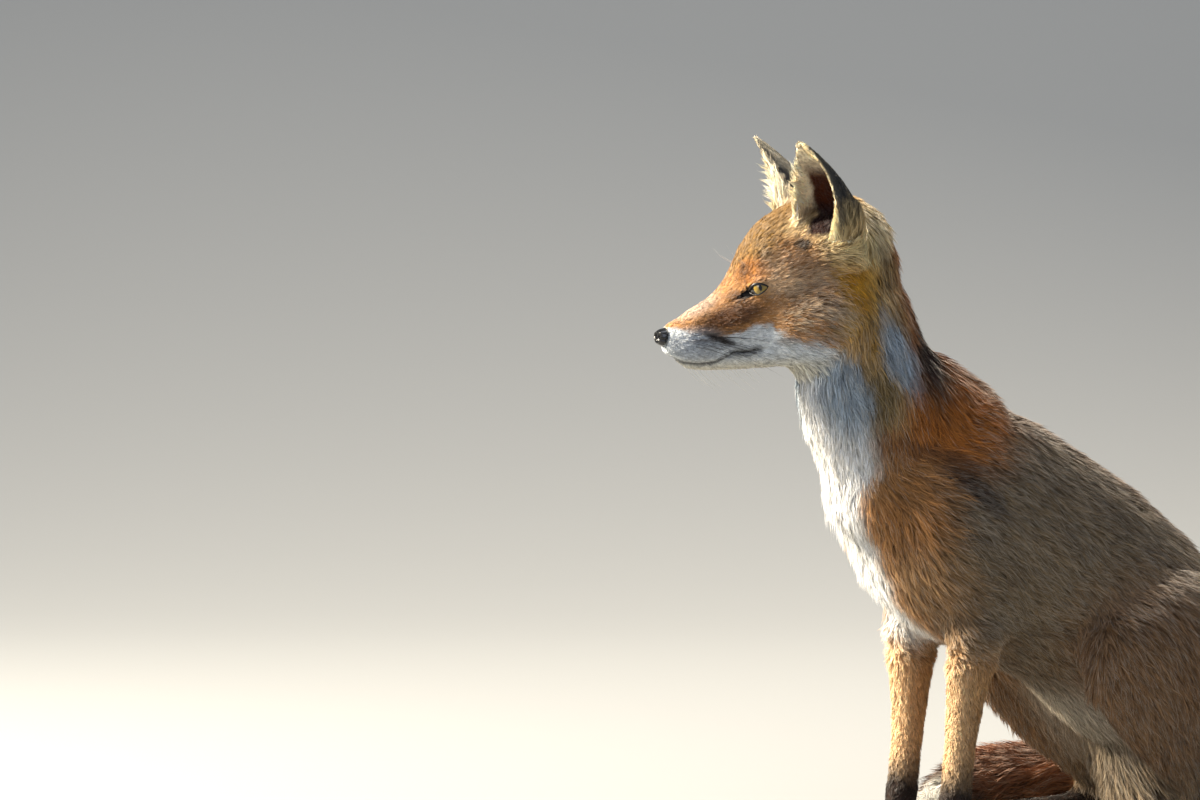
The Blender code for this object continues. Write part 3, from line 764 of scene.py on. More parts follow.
# %% Browns of the body
def back_and_shoulder(places, rough):
    """The grizzled back and flanks, the red shoulder, the painted shadow behind the upper arm and the painted
    shade under the shoulder's hair.
    """
    f, l, z = places[:, 0], np.abs(places[:, 1]), places[:, 2]
    c = np.tile(linear("#857054"), (len(places), 1))
    c = lay(c, ramp(rough, -0.1, 0.7) * 0.5, "#6A5640")
    c = lay(c, ramp(z + rough, 29, 33) * ramp(f + 1.2 * rough, -9.5, 0), "#966030")  # withers
    c = lay(c, blob(places, (1.2, 4.5, 32.6), (5.0, 5.0, 3.8), 0.65), "#B06A26")  # shoulder
    c = lay_blobs(
        c, places,
        ((5.4, 3.6, 26.0), (3.6, 4.6, 4.6), 1.0, "#A4723F"),  # upper arm
        ((4.0, 4.5, 18.5), (4.0, 4.5, 4.5), 1.0, "#A07A50"),  # elbow
        ((-15.0, 8.0, 12.0), (8.5, 6.0, 8.5), 0.6, "#9A6E46"),  # thigh
    )
    c = lay(c, ramp(l, 3.5, 1.0) * ramp(f, 2, -2) * ramp(z, 10, 20) * 0.6, "#7A5233")  # spine
    # Painted shadow: the dark patch behind the shoulder stands for the shade behind the upper arm.
    arm_shadow = blob(shear(places, 2, 0.62 * (f - 0.4)), (0.4, 5.7, 27.5), (2.8, 3.0, 1.2))
    c = lay(c, arm_shadow * ramp(rough, -1.6, 0) * 0.85, "#3A2517")
    under = blob(shear(places, 2, 0.42 * (f - 2.9)), (2.9, 4.9, 30.3), (4.0, 3.0, 0.5), 0.7)
    return lay(c, under * 0.6, "#553520")  # shade under the shoulder's hair


def neck_markings(c, places, strands):
    """The brown nape, the golden side of the neck and its pale grey patch."""
    f, l, z = places[:, 0], np.abs(places[:, 1]), places[:, 2]
    c = lay(c, ramp(z, 36, 41) * ramp(f, 6, 1), "#74502E")  # nape
    c = lay(c, blob(places, (3.0, 2.4, 37.6), (1.7, 3.4, 3.6)) * ramp(l, -0.6, 2.2), "#341A08")
    c = lay(c, ramp(f, 4.8, 7.0) * ramp(z, 31.5, 33.5), "#BF9C68")  # side of the neck
    c = lay_blobs(
        c, places,
        ((7.4, 3.8, 39.2), (1.5, 3.0, 2.0), 0.9, "#B88A2E"),
        ((8.3, 3.8, 34.8), (1.8, 3.0, 2.2), 0.8, "#6A5A38"),
    )
    slanted = shear(places, 0, 0.35 * (z - 38.3) - 0.35 * strands)
    return lay(c, blob(slanted, (6.5, 3.8, 38.0), (1.35, 4.0, 2.9)), "#A9B4BE")


print("back in linear light:", linear("#857054").round(3))

# %% White of the body
BIB_HEIGHTS = [10, 16, 20.5, 24.4, 28.2, 31.7, 36]
BIB_LEFT = [0.0, 0.2, 0.6, 1.0, 2.0, 3.2, 2.6]
BIB_RIGHT = [-3.2, -4.2, -4.6, -4.8, -4.8, -4.6, -3.0]
BIB_FRONT = [(12, -3.0), (17, -1.5), (20.6, 1.5), (24.4, 3.5), (28.2, 5.0), (31.8, 7.0), (36, 8.5)]


def bib_markings(c, places, rough, strands):
    """The white bib with a warm edge, the painted shade on the white fur of the throat above it, and the pale
    belly.
    """
    f, l, z = places[:, 0], np.abs(places[:, 1]), places[:, 2]
    near_edge, far_edge = np.interp(z, BIB_HEIGHTS, BIB_LEFT), np.interp(z, BIB_HEIGHTS, BIB_RIGHT)
    middle_line, half = (near_edge + far_edge) / 2, (near_edge - far_edge) / 2
    front = np.interp(z, *zip(*BIB_FRONT))
    off_line = np.abs(places[:, 1] - middle_line)
    bib = ramp(off_line + 0.5 * rough, half + 0.8, half - 0.4) * ramp(f + 0.5 * rough, front, front + 1.5)
    warm = ramp(off_line, half + 1.8, half + 0.4) * ramp(f, front, front + 2) * ramp(z, 31, 28)
    c = lay(c, warm * 0.6, "#D09C66")
    c = lay(c, bib, "#F2F0EB")
    slanted = shear(places, 0, 0.31 * (z - 34.9) + 0.4 * strands)
    # Painted shade: white fur on the side of the throat, which lies in shade, painted blue-grey.
    c = lay(c, blob(slanted, (10.0, 3.0, 35.2), (1.5, 2.6, 3.2)) * 0.9, "#93A1AC")  # throat
    belly = ramp(z, 13.5, 9.5) * ramp(l, 6.5, 4.5) * ramp(f, -20, -12) * ramp(f, 3, -1)
    return lay(c, belly * 0.8, "#CFC3AE")


SOCK = "#2E221C"  # dark fur of the feet


def body_markings(places):
    """Colours of the neck, trunk and legs, for places in centimetres in the body's frame."""
    f, z = places[:, 0], places[:, 2]
    rough = mottle(places, 1.6, 31)
    strands = mottle(places * (1, 1, 0.22), 0.45, 33)
    c = neck_markings(back_and_shoulder(places, rough), places, strands)
    c = bib_markings(c, places, rough, strands)
    leg = ramp(z + 0.5 * rough, 17.5, 13.5) * ramp(f, -6, -3)
    c = lay(c, leg, "#C29663")
    # The paler front of the foreleg is partly its own cream fur and partly painted light, where the light
    # from the left falls on it.
    c = lay(c, leg * ramp(f, -1.0, 1.5), "#EBC595")  # its front
    sock = ramp(z + 0.8 * rough, 8.0, 4.0)
    return lay(c, sock * ramp(f, -16, -10), SOCK)


print("body colours at", len(body_markings(body_spots[:3] * 100)), "test places")


# %% Markings of the tail, and all together
def tail_markings(places):
    """Colours of the tail, for places in centimetres in the body's frame."""
    along = follow_tail(places / 100)[0]
    rough = mottle(places, 1.4, 41)
    c = np.tile(linear("#96633C"), (len(places), 1))
    c = lay(c, ramp(rough, -0.2, 0.7) * 0.6, "#6B4A34")
    c = lay(c, ramp(along + 0.03 * rough, 0.66, 0.74) * 0.7, "#4A3529")
    return lay(c, ramp(along + 0.025 * rough, 0.78, 0.83), "#E9E5DC")


def markings(world, normals_there, shares):
    """The animal's own colours, in linear light."""
    in_head, in_body = within(HEAD, world) * 100, within(BODY, world) * 100
    turned = way_in_head(normals_there)
    foot = np.tile(linear(SOCK), (len(world), 1))
    body = body_markings(in_body)
    painted = {
        "head": head_markings(in_head, turned),
        "ear": ear_markings(in_head, turned),
        "tail": tail_markings(in_body),
        "forepaw": lay(body, ramp(in_body[:, 2], 7.0, 4.0), SOCK),
        "hind_foot": lay(foot, ramp(in_body[:, 2], 3.5, 6.0), "#8A5E3A"),
    }
    return sum(painted.get(name, body) * shares[name][:, None] for name in REGIONS)


colours = markings(spots, normals, share)
print("mean colour:", colours.mean(axis=0).round(3))

# %% [markdown]
# Materials follow the real substances. Hair and skin read their colour from an attribute named
# "tint", which the markings fill in. A single number that holds for a whole surface, such as
# its roughness, is set on the shader itself.


# %% Material helpers
def add_node(tree, kind, links=(), **settings):
    """Adds a shader node, sets it up and links its inputs to other sockets."""
    node = tree.nodes.new(kind)
    for key, value in settings.items():
        setattr(node, key, value)
    for name, source in links:
        tree.links.new(source, node.inputs[name])
    return node


def material(name, roughness, code=None, **sockets):
    """A Principled material of one colour, or one that reads its colour from the tint."""
    made = bpy.data.materials.new(name)
    made.use_nodes = True
    tree = made.node_tree
    shader = tree.nodes["Principled BSDF"]
    shader.inputs["Roughness"].default_value = roughness
    if code:
        shader.inputs["Base Color"].default_value = (*linear(code), 1)
    else:
        tint = add_node(tree, "ShaderNodeAttribute", attribute_name="tint")
        tree.links.new(tint.outputs["Color"], shader.inputs["Base Color"])
    for key, value in sockets.items():
        shader.inputs[key.replace("_", " ")].default_value = value
    return made


def add_bump(made, scale, distance, strength=0.6, detail=3.0, kind="ShaderNodeTexNoise"):
    """Fine relief that reads object coordinates. The distance is in metres."""
    tree = made.node_tree
    place = add_node(tree, "ShaderNodeTexCoord")
    texture = add_node(tree, kind, [("Vector", place.outputs["Object"])])
    texture.inputs["Scale"].default_value = scale
    if "Detail" in texture.inputs:
        texture.inputs["Detail"].default_value = detail
    bump = add_node(tree, "ShaderNodeBump", [("Height", texture.outputs[0])])
    bump.inputs["Distance"].default_value = distance
    bump.inputs["Strength"].default_value = strength
    tree.links.new(bump.outputs["Normal"], tree.nodes["Principled BSDF"].inputs["Normal"])
    return made


def set_tint(mesh, values):
    """Stores one colour for each vertex."""
    attribute = mesh.color_attributes.new("tint", "FLOAT_COLOR", "POINT")
    opaque = np.column_stack([values, np.ones(len(values))])
    attribute.data.foreach_set("color", opaque.astype(np.float32).ravel())


def keep(obj, made, nodes_replaced=()):
    """Gives a piece its material, attaches it to the body and hides the solids it stands for."""
    obj.data.materials.clear()
    obj.data.materials.append(made)
    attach(obj, "root")
    if nodes_replaced:
        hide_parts(*nodes_replaced)
    return obj


# Skin under short hair: soft, dull, with a fine nap about half a millimetre across.
hide = add_bump(material("hide", 0.75, Specular_IOR_Level=0.12), 1900, 0.0004)
# Hair: fairly dull, with a soft glow where it turns away from the light.
hair = material("fox hair", 0.55, Sheen_Weight=0.08, Sheen_Roughness=0.5, Specular_IOR_Level=0.28)
print("materials:", hide.name, "and", hair.name)

# %% [markdown]
# The coat is laid out on an unwrap of the skin, so that each tuft owns a small patch of it.
# The skin is unwrapped by the lie of its faces, and the places are read back for the tufts.

# %% Finish and unwrap the skin
set_tint(skin.data, colours * (1 - 0.35 * share["tail"])[:, None])
bpy.context.view_layer.objects.active = skin
skin.select_set(True)
bpy.ops.object.mode_set(mode="EDIT")
bpy.ops.mesh.select_all(action="SELECT")
bpy.ops.mesh.quads_convert_to_tris()
bpy.ops.uv.smart_project(angle_limit=math.radians(66), island_margin=0.004)
bpy.ops.object.mode_set(mode="OBJECT")
skin.data.uv_layers[0].name = "OFBake"
keep(skin, hide, flesh)
corners = read(skin.data.polygons, "vertices", 3, np.int32)
unwrap = read(skin.data.uv_layers[0].uv, "vector", 2).reshape(-1, 3, 2)
first, second, third = (spots[corners[:, k]] for k in range(3))
areas = np.linalg.norm(np.cross(second - first, third - first), axis=1) / 2
CM2_PER_M2 = 1e4
print("skin:", len(corners), "triangles,", round(areas.sum() * CM2_PER_M2), "square centimetres")

# %% [markdown]
# Hair length changes over the body: two or three millimetres on the muzzle, under a
# centimetre on the face, and two centimetres or more on the ruff, the bib and the tail. On the
# ear, long hair grows over the inner edge and low on the back, and the outer edge stays short,
# so that its thin pale line is seen.

# %% Hair length on the head
s, t, u = head_spots[:, 0], np.abs(head_spots[:, 1]), head_spots[:, 2]
face_length = np.interp(s, [-0.02, 0.02, 0.05, 0.08, 0.11, 0.132, 0.138], [14, 12, 8.5, 5.5, 3.4, 2.4, 1.3])
face_length = face_length - 5 * ramp(u, 0.045, 0.07) * ramp(s, 0.0, 0.03) * ramp(face_length, 7, 10)
around_eye = blob(head_spots, (EYE[0] + 0.002, 0.026, EYE[2]), (0.018, 0.02, 0.013))
face_length = face_length * (1 - 0.45 * around_eye) * (1 - 0.35 * ramp(u, -0.012, -0.02) * on_muzzle)
face_length = face_length * (1 - 0.6 * ear_floor(head_spots, ear_front))
core = ear_core(head_spots)
inner_edge = ramp(s - core[:, 0], 0.003, 0.009)
inner_edge = inner_edge * ramp(t, np.abs(core[:, 1]) + 0.004, np.abs(core[:, 1]) - 0.004)
fringe = inner_edge * ramp(u, 0.142, 0.122)
shaggy = ramp(u, 0.104, 0.084) * ramp(ear_front, 0.1, -0.3)  # low on the back of the ear
outer_edge = ramp(past_edge, 0.0068, 0.0040)
ear_length = 3.0 + 9.0 * fringe + 10.0 * shaggy * (1 - outer_edge) - 0.8 * outer_edge
print("face hair, mm:", face_length.min().round(1), "to", face_length.max().round(1))

# %% [markdown]
# On the body one length for each part is nearly enough. Where the head meets the neck, longer
# hair stands up and fills the crease, as a ruff does. The number of tufts per square centimetre
# falls as they get longer, since long tufts cover more, and it is set for each part so that no
# skin shows through.

# %% Hair length, height and number on the body
LENGTH = {"neck": 23, "forepaw": 3.5, "haunch": 19, "hind_foot": 4.5, "tail": 33}  # millimetres
DENSITY = {
    "head": 1.05, "ear": 0.9, "neck": 1.5, "trunk": 1.25, "foreleg": 0.85, "forepaw": 0.5,
    "haunch": 1.15, "hind_foot": 0.45, "tail": 1.6,
}
ahead, across, height = body_spots.T
bib = ramp(ahead, 0.06, 0.10) * ramp(np.abs(across), 0.06, 0.03)
over_elbow = ramp(height, 0.195, 0.150) * ramp(ahead, -0.07, -0.03)
length = {
    **LENGTH,
    "head": face_length,
    "ear": ear_length,
    "trunk": (22 + 4 * bib) * (1 - 0.6 * over_elbow),
    "foreleg": np.interp(height, [0.03, 0.08, 0.16], [4.0, 5.0, 8.0]),
}
hair_length = sum(share[name] * length[name] for name in REGIONS) * 0.001
tuft_height = sum(share[name] * DEPTH[name] for name in REGIONS) * 0.001
tuft_height = tuft_height * (1 - 0.62 * face_front) + share["ear"] * (0.0012 * fringe + 0.0030 * shaggy)
crease = 4 * share["head"] * (share["neck"] + share["trunk"]) * ramp(u, 0.08, 0.05)
under_ear = share["head"] * blob(head_spots, (0.020, 0.043, 0.062), (0.016, 0.018, 0.012))
hair_length = hair_length + 0.005 * crease + 0.004 * under_ear
tuft_height = tuft_height + 0.0035 * crease + 0.003 * under_ear
per_cm2 = np.interp(hair_length * 1000, [2, 4, 8, 14, 20, 30], [75, 55, 30, 17, 12, 8])
per_cm2 = per_cm2 * (1 - bare) * sum(share[name] * DENSITY[name] for name in REGIONS)
tufts_wanted = areas * per_cm2[corners].mean(axis=1)  # on each triangle, in ten thousands
print("hair length, mm:", round(hair_length.min() * 1000, 1), "to", round(hair_length.max() * 1000, 1))

# %% [markdown]
# Real hair could be drawn by a particle system, but that isn't kept in an export. So a tuft is
# six thin blades that start side by side and draw together at the tip, as damp or long hair
# does. First the roots are picked at random on the skin, more of them where the coat is dense.

# %% Roots of the tufts
BLADES = 6
SPARE = 1.0


def pick_roots(chosen):
    """Random root places on the chosen skin triangles, as triangle numbers and weights."""
    weight = tufts_wanted[chosen]
    count = int(weight.sum() * CM2_PER_M2 * SPARE)
    triangle = chosen[rng.choice(len(chosen), count, p=weight / weight.sum())]
    a, b = rng.random(count), rng.random(count)
    over = a + b > 1
    a[over], b[over] = 1 - a[over], 1 - b[over]
    return triangle, np.column_stack([1 - a - b, a, b])


def at_roots(values, roots):
    """Values of the skin's vertices at the roots."""
    triangle, weights = roots
    return np.einsum("nk,nk...->n...", weights, values[corners[triangle]])


def each_blade(values):
    """Values of the tufts, repeated for their blades."""
    return np.repeat(values, BLADES, axis=0)


print("each tuft has", BLADES, "blades")

# %% [markdown]
# Each blade is a strip of three triangles that leaves the skin at a slant and bends to lie
# along it. Neighbouring tufts swing the same way, which parts the coat into locks, and each
# blade is rolled a little round its length, so that it catches the light differently.


# %% Shape of the blades
def shape_blades(roots):
    """The blades' five corners each, and the places where their colours are read."""
    root, out = at_roots(spots, roots), unit(at_roots(normals, roots))
    n = len(root)
    m = n * BLADES
    along = at_roots(flow, roots)
    along = unit(along - out * (along * out).sum(axis=1, keepdims=True))
    across = np.cross(along, out)
    long, high = at_roots(hair_length, roots), at_roots(tuft_height, roots)
    clump = 10 ** rng.normal(0, 0.05, n)
    swing = rng.normal(0, 0.16, n) + np.clip(long * 14, 0.06, 0.28) * mottle(root, 0.012, 5)
    along = unit(along * np.cos(swing)[:, None] + across * np.sin(swing)[:, None])
    across = np.cross(along, out)
    read_at = root + along * (0.45 * long)[:, None]
    room = 1 / np.sqrt(at_roots(per_cm2, roots) * CM2_PER_M2 + 1)
    angle, radius = rng.random(m) * 2 * np.pi, np.sqrt(rng.random(m)) * each_blade(room) * 1.1
    size = each_blade(long * clump) * rng.uniform(0.75, 1.12, m)
    rise = each_blade(high * rng.uniform(0.8, 1.25, n)) * rng.uniform(0.8, 1.2, m)
    rise = np.minimum(rise, size * 0.8)
    run = np.sqrt(np.maximum(size**2 - rise**2, 0))
    root, out, along, across = (each_blade(values) for values in (root, out, along, across))
    shift = across * (np.cos(angle) * radius)[:, None] + along * (np.sin(angle) * radius)[:, None]
    start = root + shift - out * 0.0004
    middle = start + along * (run * 0.52)[:, None] + out * (rise * 0.72)[:, None] - shift * 0.15
    tip = start + along * run[:, None] + out * rise[:, None] - shift * 0.75
    tip = tip + across * (rng.normal(0, 0.05, m) * size)[:, None]
    roll = rng.normal(0, 0.45, m)
    flat = across * np.cos(roll)[:, None] + out * np.sin(roll)[:, None]
    wide = np.interp(size * 1000, [2, 5, 10, 20, 30], [0.34, 0.40, 0.52, 0.68, 0.90]) * 0.0005
    side = flat * wide[:, None]
    verts = [start - side, start + side, middle - side * 0.85, middle + side * 0.85, tip]
    verts = np.stack(verts, axis=1)
    verts[..., 2] = np.maximum(verts[..., 2], 0.0004)  # nothing goes through the floor
    return verts, read_at


print("blades are 0.34 to 0.9 mm wide")

# %% [markdown]
# A blade's root is darker than its tip, as little light gets down between the hairs. Some
# hairs have pale or dark ends, which is what makes a fox look grizzled. The colour is read from
# the markings part way along the tuft, so that a mark shows up where its hairs are seen.


# %% Colour of the blades
TUFT_SPREAD, BLADE_SPREAD = 0.15, 0.20  # how far neighbours differ in shade
DARK_SHARE = 0.7  # dark ends for each pale one


def colour_blades(roots, read_at):
    """A colour for each of the blades' corners."""
    n = len(read_at)
    m = n * BLADES
    shares = {name: at_roots(share[name], roots) for name in REGIONS}
    tint = markings(read_at, unit(at_roots(normals, roots)), shares)
    tint = each_blade(tint * (1 + TUFT_SPREAD * rng.normal(0, 1, (n, 1))))
    tint = tint * (1 + BLADE_SPREAD * rng.normal(0, 1, (m, 1)))
    light = tint.mean(axis=1)
    grizzled = each_blade(at_roots(grizzle, roots))
    end = tint * 1.16
    pale = rng.random(m) < grizzled
    dark = ~pale & (rng.random(m) < grizzled * DARK_SHARE)
    pale_end = linear("#D8CDBB") * 0.65 * (0.5 + 0.5 * light[pale, None] / 0.3).clip(0.5, 1)
    end[pale] = end[pale] * 0.35 + pale_end
    end[dark] = end[dark] * 0.35
    shadow = tint * (0.58 + 0.34 * light.clip(0, 0.8) / 0.8)[:, None]
    return np.stack([shadow, shadow, tint, tint, end], axis=1).clip(0.004, 0.93)


print("pale hair ends:", linear("#D8CDBB").round(2))


# %% [markdown]
# A piece of coat could be joined from single blades, but thousands of small objects are slow
# to handle. So its mesh is filled from whole lists of corners at once. On the colour map every
# tuft gets a small patch at its root's place on the skin's unwrap.


# %% Mesh of one piece of coat
PATCH_STEP, PATCH_SCATTER = 0.00022, 0.0008  # in widths of the map


def coat_mesh(name, verts, colours_there):
    """A mesh of blades, each a narrow quad with a pointed tip."""
    m = len(verts)
    base = np.arange(m)[:, None] * 5
    loops = np.hstack([base + [0, 1, 3], base + [0, 3, 2], base + [2, 3, 4]]).astype(np.int32)
    mesh = bpy.data.meshes.new(name)
    mesh.vertices.add(m * 5)
    mesh.vertices.foreach_set("co", verts.astype(np.float32).ravel())
    mesh.loops.add(m * 9)
    mesh.loops.foreach_set("vertex_index", loops.ravel())
    mesh.polygons.add(m * 3)
    mesh.polygons.foreach_set("loop_start", np.arange(m * 3, dtype=np.int32) * 3)
    mesh.polygons.foreach_set("use_smooth", np.ones(m * 3, dtype=bool))
    mesh.update(calc_edges=True)
    set_tint(mesh, colours_there.reshape(-1, 3))
    return mesh, loops


def grow(name, chosen):
    """Makes one piece of coat on the chosen skin triangles."""
    roots = pick_roots(chosen)
    verts, read_at = shape_blades(roots)
    mesh, loops = coat_mesh(name, verts, colour_blades(roots, read_at))
    triangle, weights = roots
    patch = each_blade(np.einsum("nk,nkc->nc", weights, unwrap[triangle]))
    spot = patch + rng.uniform(-PATCH_SCATTER, PATCH_SCATTER, patch.shape)
    step = np.array([(-1, -3), (1, -3), (-1, 0), (1, 0), (0, 3)]) * PATCH_STEP
    places = (spot[:, None] + step).reshape(-1, 2)[loops.ravel()]
    layer = mesh.uv_layers.new(name="OFBake")
    layer.uv.foreach_set("vector", places.clip(0.0005, 0.9995).astype(np.float32).ravel())
    piece = bpy.data.objects.new(name, mesh)
    scene.collection.objects.link(piece)
    keep(piece, hair)
    print(name, "tufts:", len(triangle), "triangles:", len(verts) * 3)
    return piece


print("patches on the map are about", round(2 * (PATCH_SCATTER + 3 * PATCH_STEP), 4), "across")

# %% [markdown]
# How grizzled the coat is differs too: most on the back and flanks, on the temples and low on
# the cheeks, less on the red shoulder, and hardly at all on the ears and paws.

# %% Share of pale and dark hair ends
grizzle = 0.14 - 0.08 * share["head"] + 0.35 * share["trunk"] * ramp(ahead, 0.05, 0.0)
grizzle = grizzle + 0.15 * share["neck"] + 0.2 * share["haunch"]
grizzle = grizzle + 0.35 * blob(body_spots, (0.009, 0.072, 0.27), (0.03, 0.04, 0.025))
grizzle = grizzle - 0.25 * blob(body_spots, (0.012, 0.045, 0.326), (0.045, 0.05, 0.035))
grizzle = grizzle + 0.45 * share["head"] * blob(head_spots, (0.048, 0.042, 0.042), (0.030, 0.03, 0.028))
grizzle = grizzle + 0.45 * share["head"] * blob(head_spots, (0.034, 0.048, 0.014), (0.030, 0.03, 0.018))
grizzle = grizzle * (1 - 0.9 * share["forepaw"]) * (1 - 0.8 * share["ear"])
print("hair ends that differ:", round(float(grizzle.mean()), 2), "on average")

# %% [markdown]
# The coat is made in pieces, each with fewer than 200,000 triangles, so that an export keeps
# all of them whole. Which part a triangle belongs to decides its piece, and a large part is cut
# from back to front into pieces with about equal numbers of tufts.

# %% Coat pieces
PIECE_TRIANGLES = 185000
owner = np.array([share[name] for name in REGIONS])[:, corners].mean(axis=2).argmax(axis=0)
middle_place = body_spots[corners].mean(axis=1)
head_place = head_spots[corners].mean(axis=1)
pieces = {}
for k, name in enumerate(REGIONS):
    chosen = np.flatnonzero(owner == k)
    amount = tufts_wanted[chosen].sum() * CM2_PER_M2 * BLADES * 3
    parts = int(amount // PIECE_TRIANGLES) + 1
    ordered = chosen[np.argsort((head_place if name == "head" else middle_place)[chosen, 0], kind="stable")]
    shares_so_far = np.cumsum(tufts_wanted[ordered])
    number = np.minimum((shares_so_far / shares_so_far[-1] * parts).astype(int), parts - 1)
    for part in range(parts):
        label = f"{name}_coat_{part + 1}" if parts > 1 else f"{name}_coat"
        pieces[label] = grow(label, ordered[number == part])
total = sum(len(p.data.polygons) for p in pieces.values())
print("coat:", len(pieces), "pieces,", total, "triangles")

# %% [markdown]
# The skin under long fur is never seen close, so it can do with fewer faces than the face, the
# ears and the feet. A Decimate modifier that is held to a vertex group thins it just there,
# which keeps the whole skin under 200,000 triangles.

# %% Thin the hidden skin
long_fur = skin.vertex_groups.new(name="under long fur")
long_fur.add(np.flatnonzero(hair_length > 0.011).tolist(), 1.0, "REPLACE")
thin = skin.modifiers.new("thin", "DECIMATE")
thin.ratio = 0.65
thin.vertex_group = long_fur.name
bake_modifiers(skin)
skin.vertex_groups.clear()
print("skin now:", len(skin.data.polygons), "triangles, maps:", [layer.name for layer in skin.data.uv_layers])

# %% [markdown]
# The eye is a glossy ball with a golden iris and a dark upright pupil. Its colours are laid on
# by the distance from the line of sight, and the clear front bulges a little, so that it
# catches a highlight as a wet eye does.

# %% Eyes
IRIS, PUPIL = 0.0058, (0.0012, 0.0026)


def make_eye(name, side):
    gaze, inner, above = eye_axes(side)
    gaze, inner = unit(gaze + 0.12 * inner), unit(inner - 0.12 * gaze)  # it looks a little ahead
    shape = bmesh.new()
    bmesh.ops.create_uvsphere(shape, u_segments=96, v_segments=96, radius=EYE_RADIUS)
    frame_of_eye = Matrix([(inner[i], above[i], gaze[i], 0) for i in range(3)] + [(0, 0, 0, 1)])
    tint = []
    for vertex in shape.verts:
        x, y, toward = vertex.co
        out = math.hypot(x, y)
        angle = math.atan2(y, x)
        streak = 0.5 + 0.5 * noise.noise(Vector((math.cos(angle) * 9, math.sin(angle) * 9, out * 300)))
        colour = linear("#7E621F") * (1 - streak) + linear("#AD9142") * streak
        colour = colour * (0.55 + 0.45 * min(1, out / 0.0035))
        if (x / PUPIL[0]) ** 2 + (y / PUPIL[1]) ** 2 < 1:
            colour = linear("#050404")
        if out > IRIS * 0.88:
            colour = linear("#150D08")
        if toward < 0 or out > IRIS:
            colour = linear("#0E0906")
        tint.append(colour)
        if toward > 0 and out < IRIS * 1.1:
            vertex.co.z += 0.0006 * (1 - (out / (IRIS * 1.1)) ** 2)
    place = HEAD @ Matrix.Translation(EYE * (1, side, 1)) @ frame_of_eye
    shape.transform(place)
    bmesh.ops.recalc_face_normals(shape, faces=shape.faces)
    eye = add_object(name, shape)
    set_tint(eye.data, np.array(tint))
    return eye


# The eye's clear outer coat is wet and smooth over the coloured iris.
wet_eye = material("eye", 0.12, Coat_Weight=1.0, Coat_Roughness=0.02, IOR=1.38)
for label, side in SIDES.items():
    keep(make_eye(f"eyeball_{label}", side), wet_eye, [f"eye_{label}"])
print("eyeballs", EYE_RADIUS * 2000, "mm across")

# %% [markdown]
# The lids end in a narrow rim of bare black skin, which draws the almond outline of the eye.
# It could be painted on, but it stands a little proud, so a tube is swept along each lid's
# edge. The upper one is thicker, as short lashes hang over it, and both thin to the corners.


# %% Dark rims of the lids
def sweep(shape, line, radii, sides=8):
    """A tube along a line of points. Each end is closed."""
    rings = []
    line = [Vector(p) for p in line]
    for k, point in enumerate(line):
        ahead = line[min(k + 1, len(line) - 1)] - line[max(k - 1, 0)]
        turn = ahead.to_track_quat("Z", "Y").to_matrix()
        ring = []
        for j in range(sides):
            angle = 2 * math.pi * j / sides
            offset = turn @ Vector((math.cos(angle), math.sin(angle), 0))
            ring.append(shape.verts.new(point + offset * radii[k]))
        rings.append(ring)
    for low_ring, high_ring in zip(rings, rings[1:]):
        for j in range(sides):
            shape.faces.new([low_ring[j], low_ring[j - 1], high_ring[j - 1], high_ring[j]])
    shape.faces.new(rings[0])
    shape.faces.new(rings[-1][::-1])


shape = bmesh.new()
for side in SIDES.values():
    gaze, inner, above = eye_axes(side)
    for lid, thick in ((1, 0.0011), (-1, 0.0005)):
        line = []
        for k in range(25):
            step = -1.04 + 2.08 * k / 24
            across_eye = step * EYE_OPENING[0] + EYE_SHIFT
            high = lid * (almond(step) + 0.0002) - EYE_DROP
            inward = math.sqrt(max((EYE_RADIUS + 0.0004) ** 2 - across_eye**2 - high**2, 0))
            point = EYE * (1, side, 1) + inner * across_eye + above * high + gaze * inward
            line.append(HEAD @ Vector(point))
        radii = [thick * (0.45 + 0.55 * math.sin(math.pi * k / 24)) for k in range(25)]
        sweep(shape, line, radii)
bmesh.ops.recalc_face_normals(shape, faces=shape.faces)
# Bare skin of the lids: nearly black and a little moist.
lid_skin = material("bare dark skin", 0.35, "#120D0B")
lids = keep(add_object("lid_rims", shape), lid_skin)
print("lid rims:", len(lids.data.polygons), "faces")

# %% [markdown]
# The nose is bare, moist, pebbled skin. It could be sculpted by hand, but its few forms are
# easy to state. It starts as a rounded block, and the two nostrils are pressed into it, with a
# slit that curls outwards from each and a groove down the middle.

# %% Nose block
shape = bmesh.new()
shape.from_mesh(nodes["nose"].data)
bmesh.ops.remove_doubles(shape, verts=shape.verts, dist=1e-6)
nose = add_object("nose_pad", shape)
add_remesh(nose, 0.0006)
smooth = nose.modifiers.new("smooth", "SMOOTH")
smooth.factor = 0.5
smooth.iterations = 10
bake_modifiers(nose)
places = within(HEAD, read(nose.data.vertices, "co", 3).astype(float))
heart = places.mean(axis=0)
places = heart + (places - heart) * (1.24, 1.02, 0.72) + (0.0009, 0, 0.0002)
tip_of_nose = places[:, 0].max()
print("nose tip at", round(tip_of_nose * 1000, 1), "mm")

